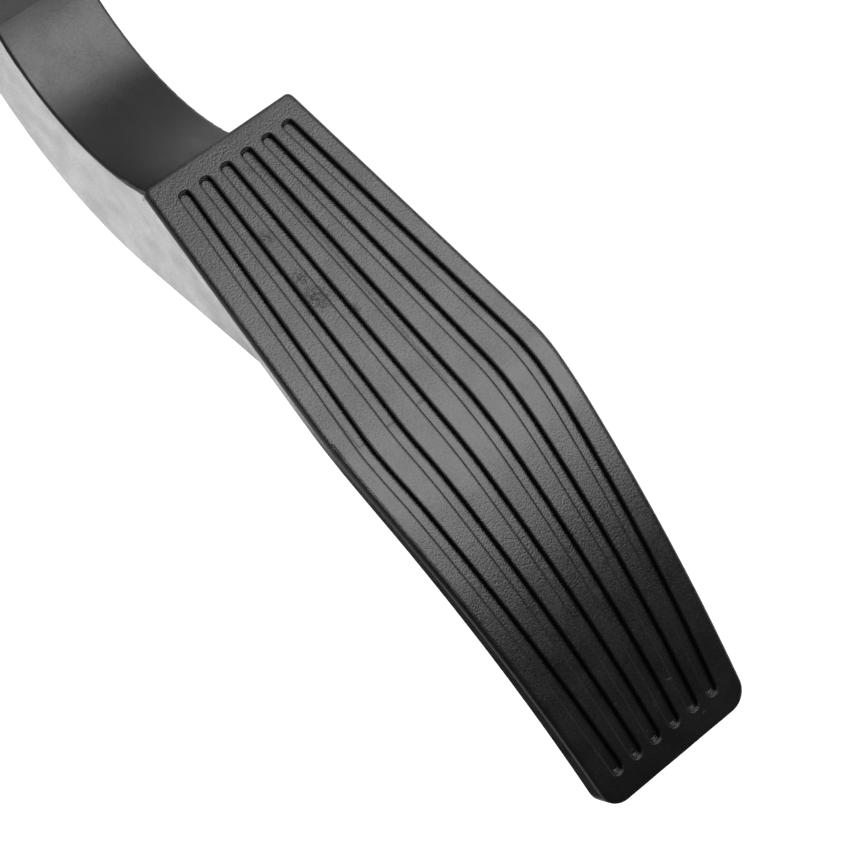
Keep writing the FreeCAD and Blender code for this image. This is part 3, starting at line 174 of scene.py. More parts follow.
@dataclass
class Surface:
    """A material under construction: its tree, its shader and the place on the piece.

    Attributes:
        name: the material's name.
    """

    name: str
    material: Material = field(init=False)
    tree: NodeTree = field(init=False)
    shader: Node = field(init=False)
    place: NodeSocket = field(init=False)

    def __post_init__(self) -> None:
        """Starts the material with one principled shader."""
        self.material = bpy.data.materials.new(self.name)
        self.material.use_nodes = True
        self.tree = self.material.node_tree
        self.tree.nodes.clear()
        self.shader = self.add("ShaderNodeBsdfPrincipled")
        self.add("ShaderNodeOutputMaterial", {"Surface": self.shader})
        self.place = self.add("ShaderNodeTexCoord").outputs["Object"]

    def add(self, kind: str, inputs: dict[Any, Any] | None = None, **settings: Any) -> Node:
        """Adds one node to the material's tree."""
        return add_node(self.tree, kind, inputs, **settings)

    def feed(self, name: str, node: Node) -> None:
        """Links a node to one of the shader's inputs."""
        source = [output for output in node.outputs if output.enabled][0]
        self.tree.links.new(source, self.shader.inputs[name])

    def set(self, **values: Any) -> None:
        """Sets numbers that are the same all over the surface."""
        for name, value in values.items():
            self.shader.inputs[name.replace("_", " ")].default_value = value

    def patches(self, cloud: Cloud) -> Node:
        """Adds cloudy patches and gives the node that holds their value."""
        noise = self.add(NOISE, {
            "Vector": self.place, "Scale": per_metre(cloud.size_mm), "Detail": CLOUD_DETAIL,
        })
        return self.add(MAP_RANGE, {
            "Value": noise, "From Min": 0.5 - cloud.spread, "From Max": 0.5 + cloud.spread,
            "To Min": cloud.low, "To Max": cloud.high,
        })

    def tint(self, factor: Node, first: str, second: str) -> None:
        """Colours the surface between two sRGB colours."""
        self.feed("Base Color", self.add("ShaderNodeMix", {
            "Factor": factor, "A": linear(first), "B": linear(second),
        }, data_type="RGBA"))

    def gloss(self, size_mm: float, roughness: float, swing: float) -> None:
        """Lets the roughness swing in cloudy patches.

        Args:
            size_mm: width of a patch.
            roughness: its middle.
            swing: how far it swings to each side.
        """
        self.feed("Roughness", self.patches(Cloud(size_mm, roughness - swing, roughness + swing)))

    def relief(self, height: Node, depth_mm: float, edge_mm: float = 0.0) -> None:
        """Gives the surface a relief, over edges that are rounded where a radius is given.

        Args:
            height: relief from zero to one.
            depth_mm: how deep a relief of one is.
            edge_mm: radius of the rounding seen along every edge.
        """
        inputs = {"Strength": 1.0, "Distance": depth_mm * MM, "Height": height}
        if edge_mm:
            inputs["Normal"] = self.add("ShaderNodeBevel", {"Radius": edge_mm * MM},
                                        samples=BEVEL_SAMPLES)
        self.feed("Normal", self.add("ShaderNodeBump", inputs))


@dataclass(frozen=True)
class MouldedPlastic:
    """Injection-moulded plastic with an eroded grain.

    Attributes:
        name: the material's name.
        colour: sRGB colour of the mass.
        bloom: sRGB colour where fibre shows near the skin.
        roughness: middle roughness of the skin.
        grain_mm: width of one grain.
        grain_depth_mm: height of the grain.
        mottle_mm: width of the cloudy patches.
        edge_mm: radius of the mould's edges.
        ior: index of refraction.
        swing: how far the roughness swings.
    """

    name: str
    colour: str
    bloom: str
    roughness: float = 0.42
    grain_mm: float = 0.4
    grain_depth_mm: float = 0.012
    mottle_mm: float = 9.0
    edge_mm: float = 0.2
    ior: float = 1.53
    swing: float = 0.05

    def make(self) -> Material:
        """Builds the material."""
        surface = Surface(self.name)
        surface.tint(surface.patches(Cloud(self.mottle_mm)), self.colour, self.bloom)
        surface.gloss(self.mottle_mm, self.roughness, self.swing)
        grain = surface.patches(Cloud(self.grain_mm, spread=GRAIN_SPREAD))
        surface.relief(grain, self.grain_depth_mm, self.edge_mm)
        surface.set(IOR=self.ior)
        return surface.material


@dataclass(frozen=True)
class WornSpot:
    """A place on the pad where soles have rubbed the grain.

    Attributes:
        place: its middle in metres.
        reach_mm: how far it reaches.
    """

    place: Point
    reach_mm: float


@dataclass(frozen=True)
class Scuffs:
    """Short pale scratches, gathered in a few places.

    Attributes:
        turn: how the scratches lie, in radians about each axis.
        packing: how closely they are packed along each axis.
        width_mm: middle width of a scratch.
        detail: how finely its edge is broken up.
        cut: the part of the noise where a scratch begins and where it is full.
        places: where they are gathered.
    """

    turn: Point = (0.4, 0.9, 0.3)
    packing: Point = (1.0, 7.0, 2.0)
    width_mm: float = 2.5
    detail: float = 5.0
    cut: tuple[float, float] = (0.68, 0.74)
    places: Cloud = Cloud(16.0, spread=0.12)

    def add_to(self, surface: Surface) -> Node:
        """Adds the scuffs and gives the node that is one on them."""
        stretched = surface.add("ShaderNodeMapping", {
            "Vector": surface.place, "Rotation": self.turn, "Scale": self.packing,
        })
        scratch = surface.add(NOISE, {
            "Vector": stretched, "Scale": per_metre(self.width_mm), "Detail": self.detail,
        })
        lines = surface.add(MAP_RANGE, {
            "Value": scratch, "From Min": self.cut[0], "From Max": self.cut[1],
        })
        return surface.add(MATH, {0: lines, 1: surface.patches(self.places)}, operation="MULTIPLY")


@dataclass(frozen=True)
class TroddenNylon:
    """Glass-filled black nylon 6 of the lever: eroded grain on the pad, and a smoother arm.

    Its fibre gives the skin cloudy patches, and shoes leave short pale scuffs.

    Attributes:
        colour: sRGB colour of the mass.
        bloom: sRGB colour of the cloudy patches.
        scuff: sRGB colour of a scuff.
        scuffs: how the scuffs lie.
        worn: places where the grain is rubbed.
        pad_top: a point on the pad's top edge, in metres.
        pad_down: direction down the pad's flat.
        pad_blend_mm: half the width of the change from arm to pad.
        sideways: how far sideways the normal turns where a face stops facing the driver.
        roughness: middle roughness of the pad's face.
        arm_roughness: middle roughness of the arm and of the pad's sides.
        blooming: the cloudy patches of colour.
        clouding: how the roughness swings from cloud to cloud.
        sparkle: how the roughness swings from grain to grain.
        speckle: what the rubbed places add to the roughness.
        grain: the grain, drawn a little coarser than it is so that it shows.
        waves: slow waves under the grain.
        grain_depth_mm: height of the grain on the pad.
        arm_grain: share of that height on the arm.
        pitting: how much deeper the grain is in the middle of a worn spot.
        edge_mm: radius of the mould's edges.
        edge_gain: how much more the edges beside the grooves are rounded.
        least_lean: leans of the normal where an edge begins to count and is full.
        ior: index of refraction of nylon.
    """

    colour: str = "#0a0a0b"
    bloom: str = "#131314"
    scuff: str = "#37373a"
    scuffs: Scuffs = Scuffs()
    worn: tuple[WornSpot, ...] = (
        WornSpot((0.0023, -0.1010, -0.1337), 4.5), WornSpot((0.0019, -0.0983, -0.1293), 2.8),
        WornSpot((0.0017, -0.0924, -0.1199), 2.2), WornSpot((0.0063, -0.1044, -0.1392), 1.8),
        WornSpot((0.0098, -0.0854, -0.1086), 1.5),
    )
    pad_top: Point = (0.0088, -0.0806, -0.101)
    pad_down: Point = (0.0, -0.5299, -0.8480)
    pad_blend_mm: float = 1.0
    sideways: tuple[float, float] = (0.5, 0.8)
    roughness: float = 0.28
    arm_roughness: float = 0.38
    blooming: Cloud = Cloud(7.0)
    clouding: Cloud = Cloud(6.0, -0.03, 0.03)
    sparkle: Cloud = Cloud(0.42, -0.05, 0.05, 0.2)
    speckle: Cloud = Cloud(0.7, -0.12, 0.5)
    grain: Cloud = Cloud(0.42, spread=GRAIN_SPREAD)
    waves: Cloud = Cloud(2.6, 0.0, 0.5, 0.4)
    grain_depth_mm: float = 0.032
    arm_grain: float = 0.25
    pitting: float = 1.8
    edge_mm: float = 0.85
    edge_gain: float = 3.5
    least_lean: tuple[float, float] = (0.03, 0.09)
    ior: float = 1.53

    def facing(self, surface: Surface, normal: NodeSocket) -> Node:
        """One where the surface faces the driver, zero on the grooves' walls and the sides."""
        across = surface.add("ShaderNodeSeparateXYZ", {0: normal}).outputs["X"]
        turned = surface.add(MATH, {0: across}, operation="ABSOLUTE")
        return surface.add(MAP_RANGE, {
            "Value": turned, "From Min": self.sideways[0], "From Max": self.sideways[1],
            "To Min": 1.0, "To Max": 0.0,
        })

    def on_pad(self, surface: Surface) -> Node:
        """One on the pad and zero on the arm."""
        offset = surface.add(VECTOR_MATH, {0: surface.place, 1: self.pad_top}, operation="SUBTRACT")
        down = surface.add(VECTOR_MATH, {0: offset, 1: self.pad_down}, operation="DOT_PRODUCT")
        blend = self.pad_blend_mm * MM
        return surface.add(MAP_RANGE, {"Value": down, "From Min": -blend, "From Max": blend})

    def rounded_edges(self, surface: Surface, normal: NodeSocket, facing: Node,
                      on_face: Node) -> Node:
        """The normal over rounded edges: full beside a groove, none on the groove's wall.

        Args:
            surface: the material under construction.
            normal: the plain normal.
            facing: one where the surface faces the driver.
            on_face: one on the pad's face.

        Returns:
            The node that gives the normal.
        """
        bevel = surface.add("ShaderNodeBevel", {"Radius": self.edge_mm * MM}, samples=BEVEL_SAMPLES)
        lean = surface.add(VECTOR_MATH, {0: bevel, 1: normal}, operation="SUBTRACT")
        gain = surface.add(MAP_RANGE, {"Value": on_face, "To Min": 1.0, "To Max": self.edge_gain})
        # A lean too small to be an edge, as where a flat runs into a curve, doesn't count.
        amount = surface.add(VECTOR_MATH, {0: lean}, operation="LENGTH")
        edge = surface.add(MAP_RANGE, {
            "Value": amount, "From Min": self.least_lean[0], "From Max": self.least_lean[1],
        })
        seen = surface.add(MATH, {0: edge, 1: facing}, operation="MULTIPLY")
        share = surface.add(MATH, {0: gain, 1: seen}, operation="MULTIPLY")
        leaned = surface.add(VECTOR_MATH, {0: lean, "Scale": share}, operation="SCALE")
        total = surface.add(VECTOR_MATH, {0: leaned, 1: normal})
        return surface.add(VECTOR_MATH, {0: total}, operation="NORMALIZE")

    def rubbed(self, surface: Surface) -> Node:
        """Grows from zero to one towards the middle of each worn spot."""
        spots = []
        for spot in self.worn:
            away = surface.add(VECTOR_MATH, {0: surface.place, 1: spot.place}, operation="DISTANCE")
            spots.append(surface.add(MAP_RANGE, {
                "Value": away, "From Min": 0.0, "From Max": spot.reach_mm * MM,
                "To Min": 1.0, "To Max": 0.0,
            }))
        most = spots[0]
        for spot in spots[1:]:
            most = surface.add(MATH, {0: most, 1: spot}, operation="MAXIMUM")
        return most

    def colour_skin(self, surface: Surface) -> None:
        """Gives the skin its clouded black, with the scuffs over it."""
        skin = surface.add("ShaderNodeMix", {
            "Factor": surface.patches(self.blooming), "A": linear(self.colour),
            "B": linear(self.bloom),
        }, data_type="RGBA")
        surface.feed("Base Color", surface.add("ShaderNodeMix", {
            "Factor": self.scuffs.add_to(surface), "A": skin, "B": linear(self.scuff),
        }, data_type="RGBA"))

    def gloss_skin(self, surface: Surface, on_face: Node, rubbed: Node) -> None:
        """Changes the skin's gloss in clouds, from grain to grain, and where it is rubbed."""
        middle = surface.add(MAP_RANGE, {
            "Value": on_face, "To Min": self.arm_roughness, "To Max": self.roughness,
        })
        clouded = surface.add(MATH, {0: middle, 1: surface.patches(self.clouding)})
        grained = surface.add(MATH, {0: clouded, 1: surface.patches(self.sparkle)})
        specks = surface.add(MATH, {0: rubbed, 1: surface.patches(self.speckle)},
                             operation="MULTIPLY")
        surface.feed("Roughness", surface.add(MATH, {0: grained, 1: specks}))

    def skin_height(self, surface: Surface, on_face: Node, rubbed: Node) -> Node:
        """Height of the skin: grain, deeper on the pad and in worn spots, over slow waves."""
        strength = surface.add(MAP_RANGE, {
            "Value": on_face, "To Min": self.arm_grain, "To Max": 1.0,
        })
        pitted = surface.add(MATH, {0: rubbed, 1: self.pitting, 2: strength},
                             operation="MULTIPLY_ADD")
        grain = surface.add(MATH, {0: surface.patches(self.grain), 1: pitted}, operation="MULTIPLY")
        return surface.add(MATH, {0: grain, 1: surface.patches(self.waves)})

    def make(self) -> Material:
        """Builds the material."""
        surface = Surface("black_nylon_lever")
        normal = surface.add("ShaderNodeNewGeometry").outputs["Normal"]
        facing = self.facing(surface, normal)
        on_face = surface.add(MATH, {0: self.on_pad(surface), 1: facing}, operation="MULTIPLY")
        rubbed = self.rubbed(surface)
        self.colour_skin(surface)
        self.gloss_skin(surface, on_face, rubbed)
        surface.feed("Normal", surface.add("ShaderNodeBump", {
            "Strength": 1.0, "Distance": self.grain_depth_mm * MM,
            "Height": self.skin_height(surface, on_face, rubbed),
            "Normal": self.rounded_edges(surface, normal, facing, on_face),
        }))
        surface.set(IOR=self.ior)
        return surface.material


@dataclass(frozen=True)
class WorkedMetal:
    """A metal piece with the marks of its making.

    Attributes:
        name: the material's name.
        colour: sRGB colour of the metal or its plating.
        shade: sRGB colour of its darker places.
        roughness: middle roughness.
        working: how it was made.
        mark_mm: distance between two marks.
        depth_mm: depth of a mark.
        metallic: one for bare metal, less under an oxide.
        cloud_mm: width of the cloudy patches.
        swing: how far the roughness swings: below zero, as pale places are glossier.
        mark_detail: how finely the marks are broken up.
        edge_mm: radius of the edges.
    """

    name: str
    colour: str
    shade: str
    roughness: float
    working: Working
    mark_mm: float
    depth_mm: float = 0.004
    metallic: float = 1.0
    cloud_mm: float = 3.0
    swing: float = -0.06
    mark_detail: float = 2.0
    edge_mm: float = 0.1

    def make(self) -> Material:
        """Builds the material, with rings, lines, clouds or pores as the working left them."""
        surface = Surface(self.name)
        stretched = surface.add("ShaderNodeMapping", {
            "Vector": surface.place, "Scale": self.working.value,
        })
        marks = surface.add(NOISE, {
            "Vector": stretched, "Scale": per_metre(self.mark_mm), "Detail": self.mark_detail,
        })
        surface.tint(surface.patches(Cloud(self.cloud_mm)), self.shade, self.colour)
        surface.gloss(self.cloud_mm, self.roughness, self.swing)
        surface.set(Metallic=self.metallic)
        surface.relief(marks, self.depth_mm, self.edge_mm)
        return surface.material


@dataclass(frozen=True)
class GrainyMass:
    """A piece pressed from powder or moulded from a filled mass.

    Attributes:
        name: the material's name.
        colour: sRGB colour of the mass.
        speck: sRGB colour of its grains.
        roughness: roughness of the skin.
        grain_mm: width of a grain.
        ior: index of refraction.
        scarcity: how far below zero the grains' colour starts.
        spread: half the part of the noise that their colour is spread over.
        cloud_mm: width of the patches of gloss.
        swing: how far the roughness swings.
        depth_mm: height of a grain.
        edge_mm: radius of the edges.
    """

    name: str
    colour: str
    speck: str
    roughness: float
    grain_mm: float
    ior: float = 1.5
    scarcity: float = 0.5
    spread: float = 0.2
    cloud_mm: float = 2.0
    swing: float = 0.05
    depth_mm: float = 0.01
    edge_mm: float = 0.15

    def make(self) -> Material:
        """Builds the material."""
        surface = Surface(self.name)
        specks = surface.patches(Cloud(self.grain_mm, low=-self.scarcity, spread=self.spread))
        surface.tint(specks, self.colour, self.speck)
        surface.gloss(self.cloud_mm, self.roughness, self.swing)
        grain = surface.patches(Cloud(self.grain_mm, spread=GRAIN_SPREAD))
        surface.relief(grain, self.depth_mm, self.edge_mm)
        surface.set(IOR=self.ior)
        return surface.material


@dataclass(frozen=True)
class MaskedBoard:
    """Glass-epoxy circuit board under green solder mask, with its copper showing paler.

    Attributes:
        mask: sRGB colour over the bare board.
        over_copper: sRGB colour over copper.
        field_mm: distance between two gaps in the copper.
        unevenness: how unevenly the gaps are spaced.
        edge: where the copper begins and where it is full, as shares of that distance.
        roughness: roughness of the mask.
        copper_mm: thickness of the copper.
    """

    mask: str = "#0b3018"
    over_copper: str = "#1d5f31"
    field_mm: float = 2.4
    unevenness: float = 0.2
    edge: tuple[float, float] = (0.06, 0.1)
    roughness: float = 0.3
    copper_mm: float = 0.03

    def make(self) -> Material:
        """Builds the material."""
        surface = Surface("solder_masked_laminate")
        gaps = surface.add("ShaderNodeTexVoronoi", {
            "Vector": surface.place, "Scale": per_metre(self.field_mm),
            "Randomness": self.unevenness,
        }, feature="DISTANCE_TO_EDGE")
        copper = surface.add(MAP_RANGE, {
            "Value": gaps, "From Min": self.edge[0], "From Max": self.edge[1],
        })
        surface.tint(copper, self.mask, self.over_copper)
        surface.set(Roughness=self.roughness)
        surface.relief(copper, self.copper_mm)
        return surface.material


Finish = MouldedPlastic | TroddenNylon | WorkedMetal | GrainyMass | MaskedBoard


def dress(names: list[str], finish: Finish) -> None:
    """Gives nodes of the frame their material.

    Args:
        names: the nodes' names.
        finish: what they are made of.
    """
    material = finish.make()
    for name in names:
        data = bpy.data.objects[name].data
        if not data.materials:
            data.materials.append(material)
        for index in range(len(data.materials)):
            data.materials[index] = material
    LOG.info("%s: %s", material.name, ", ".join(names))


def node_tree(name: str, sockets: dict[str, str]) -> tuple[NodeTree, Node, Node]:
    """Starts a geometry tree with named inputs.

    Args:
        name: the tree's name.
        sockets: the kind of each input, by its name.

    Returns:
        The tree, its input node and its output node.
    """
    tree = bpy.data.node_groups.new(name, "GeometryNodeTree")
    for label, kind in sockets.items():
        tree.interface.new_socket(label, in_out="INPUT", socket_type=kind)
    tree.interface.new_socket("Geometry", in_out="OUTPUT", socket_type="NodeSocketGeometry")
    return tree, add_node(tree, "NodeGroupInput"), add_node(tree, "NodeGroupOutput")


def grown(name: str, tree: NodeTree, values: dict[str, Any],
          points: list[Point] | None = None) -> Object:
    """Runs a geometry tree and keeps its result as a plain mesh.

    Args:
        name: the new object's name.
        tree: the tree to run.
        values: what each of its inputs takes, by name.
        points: places handed to the tree, where it needs any.

    Returns:
        The object that holds the mesh, at the origin and with no modifier.
    """
    seed = bpy.data.meshes.new(name + "_seed")
    seed.from_pydata(points or [], [], [])
    carrier = shown(name + "_seed", seed)
    modifier = carrier.modifiers.new("grow", "NODES")
    modifier.node_group = tree
    for item in tree.interface.items_tree:
        if item.in_out == "INPUT" and item.name in values:
            modifier[item.identifier] = values[item.name]
    graph = bpy.context.evaluated_depsgraph_get()
    mesh = bpy.data.meshes.new_from_object(carrier.evaluated_get(graph), depsgraph=graph)
    carrier.modifiers.clear()
    bpy.data.objects.remove(carrier)
    mesh.name = name
    return shown(name, mesh)


@dataclass
class PedalLever:
    """The lever in one moulding, and the rocking lever that the springs press."""

    nylon: TroddenNylon = field(default_factory=TroddenNylon)

    def dress(self) -> None:
        """Gives the lever its nylon, and the friction lever its pale acetal."""
        dress(["pedal_arm"], self.nylon)
        # Natural acetal with a dry lubricant: ivory, waxy and smooth where it rubs.
        dress(["friction_lever"], MouldedPlastic(
            "natural_acetal", "#d9d3c0", "#cfc8b2", roughness=0.45, grain_depth_mm=0.003, ior=1.48))


@dataclass
class PivotSet:
    """Shaft, retaining ring, bushes and the sleeves at the mounting bolts."""

    def dress(self) -> None:
        """Gives the turned, stamped and sintered pieces their metals."""
        # Ground carbon steel: bright, with fine rings round the shaft.
        dress(["pivot_shaft"], WorkedMetal(
            "ground_steel", "#b9babd", "#8f9194", roughness=0.24, working=Working.TURNED,
            mark_mm=0.25))
        # Phosphated spring steel: nearly black, dull and slightly oily.
        dress(["pivot_circlip"], WorkedMetal(
            "phosphated_clip", "#3a3a3c", "#232325", roughness=0.45, working=Working.PLATED,
            mark_mm=0.3, metallic=0.8))
        # Oil-filled sintered bronze: warm, with open pores.
        dress(["pivot_bush_left", "pivot_bush_right"], WorkedMetal(
            "sintered_bronze", "#a8824a", "#7c5c33", roughness=0.42, working=Working.SINTERED,
            mark_mm=0.25, depth_mm=0.012))
        # Zinc-plated steel tube with a clear passivation: bluish grey with soft clouds.
        dress(["mount_bush_top", "mount_bush_left", "mount_bush_right"], WorkedMetal(
            "zinc_plated_sleeve", "#b4bac2", "#8d959e", roughness=0.33, working=Working.DRAWN,
            mark_mm=0.4))


@dataclass
class ReturnSprings:
    """The two coil springs: closed and ground ends, the lower one on the friction lever.

    Attributes:
        wires_mm: wire thickness of each spring.
        turns: turns of each spring.
        closed_turns: turns that lie close at each end.
        points_a_turn: points along one turn of the wire.
        points_round: points round the wire.
    """

    wires_mm: dict[str, float] = field(default_factory=lambda: {"outer": 2.4, "inner": 1.7})
    turns: dict[str, float] = field(default_factory=lambda: {"outer": 7.5, "inner": 10.0})
    closed_turns: float = 1.0
    points_a_turn: int = 48
    points_round: int = 20

    def level(self, tree: NodeTree, value: Any) -> Node:
        """Adds the height of each point of a coil: slow at the closed ends, even between.

        Args:
            tree: the tree under construction.
            value: the outputs of the tree's input node.

        Returns:
            The node that gives the height.
        """
        factor = add_node(tree, "GeometryNodeSplineParameter").outputs["Factor"]
        closed, turns = value["Closed Turns"], value["Turns"]
        # Turns walked, split into those that lie close and those that stand open.
        turn = add_node(tree, MATH, {0: factor, 1: turns}, operation="MULTIPLY")
        last = add_node(tree, MATH, {0: turns, 1: closed}, operation="SUBTRACT")
        over = add_node(tree, MATH, {0: turn, 1: last}, operation="SUBTRACT")
        after = add_node(tree, MATH, {0: over, 1: 0.0}, operation="MAXIMUM")
        before = add_node(tree, MATH, {0: turn, 1: closed}, operation="MINIMUM")
        close = add_node(tree, MATH, {0: before, 1: after})
        apart = add_node(tree, MATH, {0: turn, 1: close}, operation="SUBTRACT")
        # A close turn climbs one wire, an open turn its share of what is left of the height.
        wire = add_node(tree, MATH, {0: value["Wire Radius"], 1: 2.0}, operation="MULTIPLY")
        ends = add_node(tree, MATH, {0: closed, 1: 2.0}, operation="MULTIPLY")
        taken = add_node(tree, MATH, {0: wire, 1: ends}, operation="MULTIPLY")
        free = add_node(tree, MATH, {0: value["Height"], 1: taken}, operation="SUBTRACT")
        count = add_node(tree, MATH, {0: turns, 1: ends}, operation="SUBTRACT")
        pitch = add_node(tree, MATH, {0: free, 1: count}, operation="DIVIDE")
        climb = add_node(tree, MATH, {0: close, 1: wire}, operation="MULTIPLY")
        return add_node(tree, MATH, {0: apart, 1: pitch, 2: climb}, operation="MULTIPLY_ADD")

    def coil_tree(self) -> NodeTree:
        """Builds the tree of one coil: a level spiral, lifted turn by turn, its ends ground."""
        lengths = ("Coil Radius", "Wire Radius", "Turns", "Closed Turns", "Height")
        counts = ("Points A Turn", "Points Round")
        tree, given, result = node_tree("closed_coil", {
            **dict.fromkeys(lengths, "NodeSocketFloat"), **dict.fromkeys(counts, "NodeSocketInt"),
            "Seat": "NodeSocketVector", "Material": "NodeSocketMaterial",
        })
        value = given.outputs
        spiral = add_node(tree, "GeometryNodeCurveSpiral", {
            "Resolution": value["Points A Turn"], "Rotations": value["Turns"],
            "Start Radius": value["Coil Radius"], "End Radius": value["Coil Radius"], "Height": 0.0,
        })
        lift = add_node(tree, "ShaderNodeCombineXYZ", {"Z": self.level(tree, value)})
        path = add_node(tree, SET_POSITION, {0: spiral, "Offset": lift})
        section = add_node(tree, "GeometryNodeCurvePrimitiveCircle", {
            "Resolution": value["Points Round"], "Radius": value["Wire Radius"],
        })
        wire_mesh = add_node(tree, "GeometryNodeCurveToMesh", {
            "Curve": path, "Profile Curve": section, "Fill Caps": True,
        })
        place = add_node(tree, "ShaderNodeSeparateXYZ", {
            0: add_node(tree, "GeometryNodeInputPosition"),
        })
        ground_level = add_node(tree, "ShaderNodeClamp", {
            "Value": place.outputs["Z"], "Min": 0.0, "Max": value["Height"],
        })
        ground = add_node(tree, "ShaderNodeCombineXYZ", {
            "X": place.outputs["X"], "Y": place.outputs["Y"], "Z": ground_level,
        })
        flat = add_node(tree, SET_POSITION, {0: wire_mesh, "Position": ground})
        seated = add_node(tree, "GeometryNodeTransform", {0: flat, "Translation": value["Seat"]})
        smooth = add_node(tree, "GeometryNodeSetShadeSmooth", {0: seated})
        real = add_node(tree, "GeometryNodeRealizeInstances", {0: smooth})
        last = add_node(tree, "GeometryNodeSetMaterial", {0: real, "Material": value["Material"]})
        tree.links.new(last.outputs[0], result.inputs[0])
        return tree

    def build(self) -> None:
        """Makes both coils in the places of the frame's own springs."""
        # Patented cold-drawn spring steel under a thin grey phosphate coat.
        wire_steel = WorkedMetal("drawn_spring_steel", "#85878c", "#5c5e63", roughness=0.3,
                                 working=Working.PLATED, mark_mm=0.5).make()
        tree = self.coil_tree()
        for name, wire_mm in self.wires_mm.items():
            node = "return_spring_" + name
            low, high = (Vector(corner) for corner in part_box(node))
            seat = Vector(((low.x + high.x) / 2, (low.y + high.y) / 2, low.z))
            coil = grown(node + "_coil", tree, {
                "Coil Radius": (high.x - low.x) / 2 - wire_mm * MM / 2,
                "Wire Radius": wire_mm * MM / 2, "Height": high.z - low.z,
                "Turns": self.turns[name], "Closed Turns": self.closed_turns,
                "Points A Turn": self.points_a_turn, "Points Round": self.points_round,
                "Seat": seat, "Material": wire_steel,
            })
            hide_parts(node)
            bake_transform(coil)
            LOG.info("%s: %d faces", coil.name, len(coil.data.polygons))


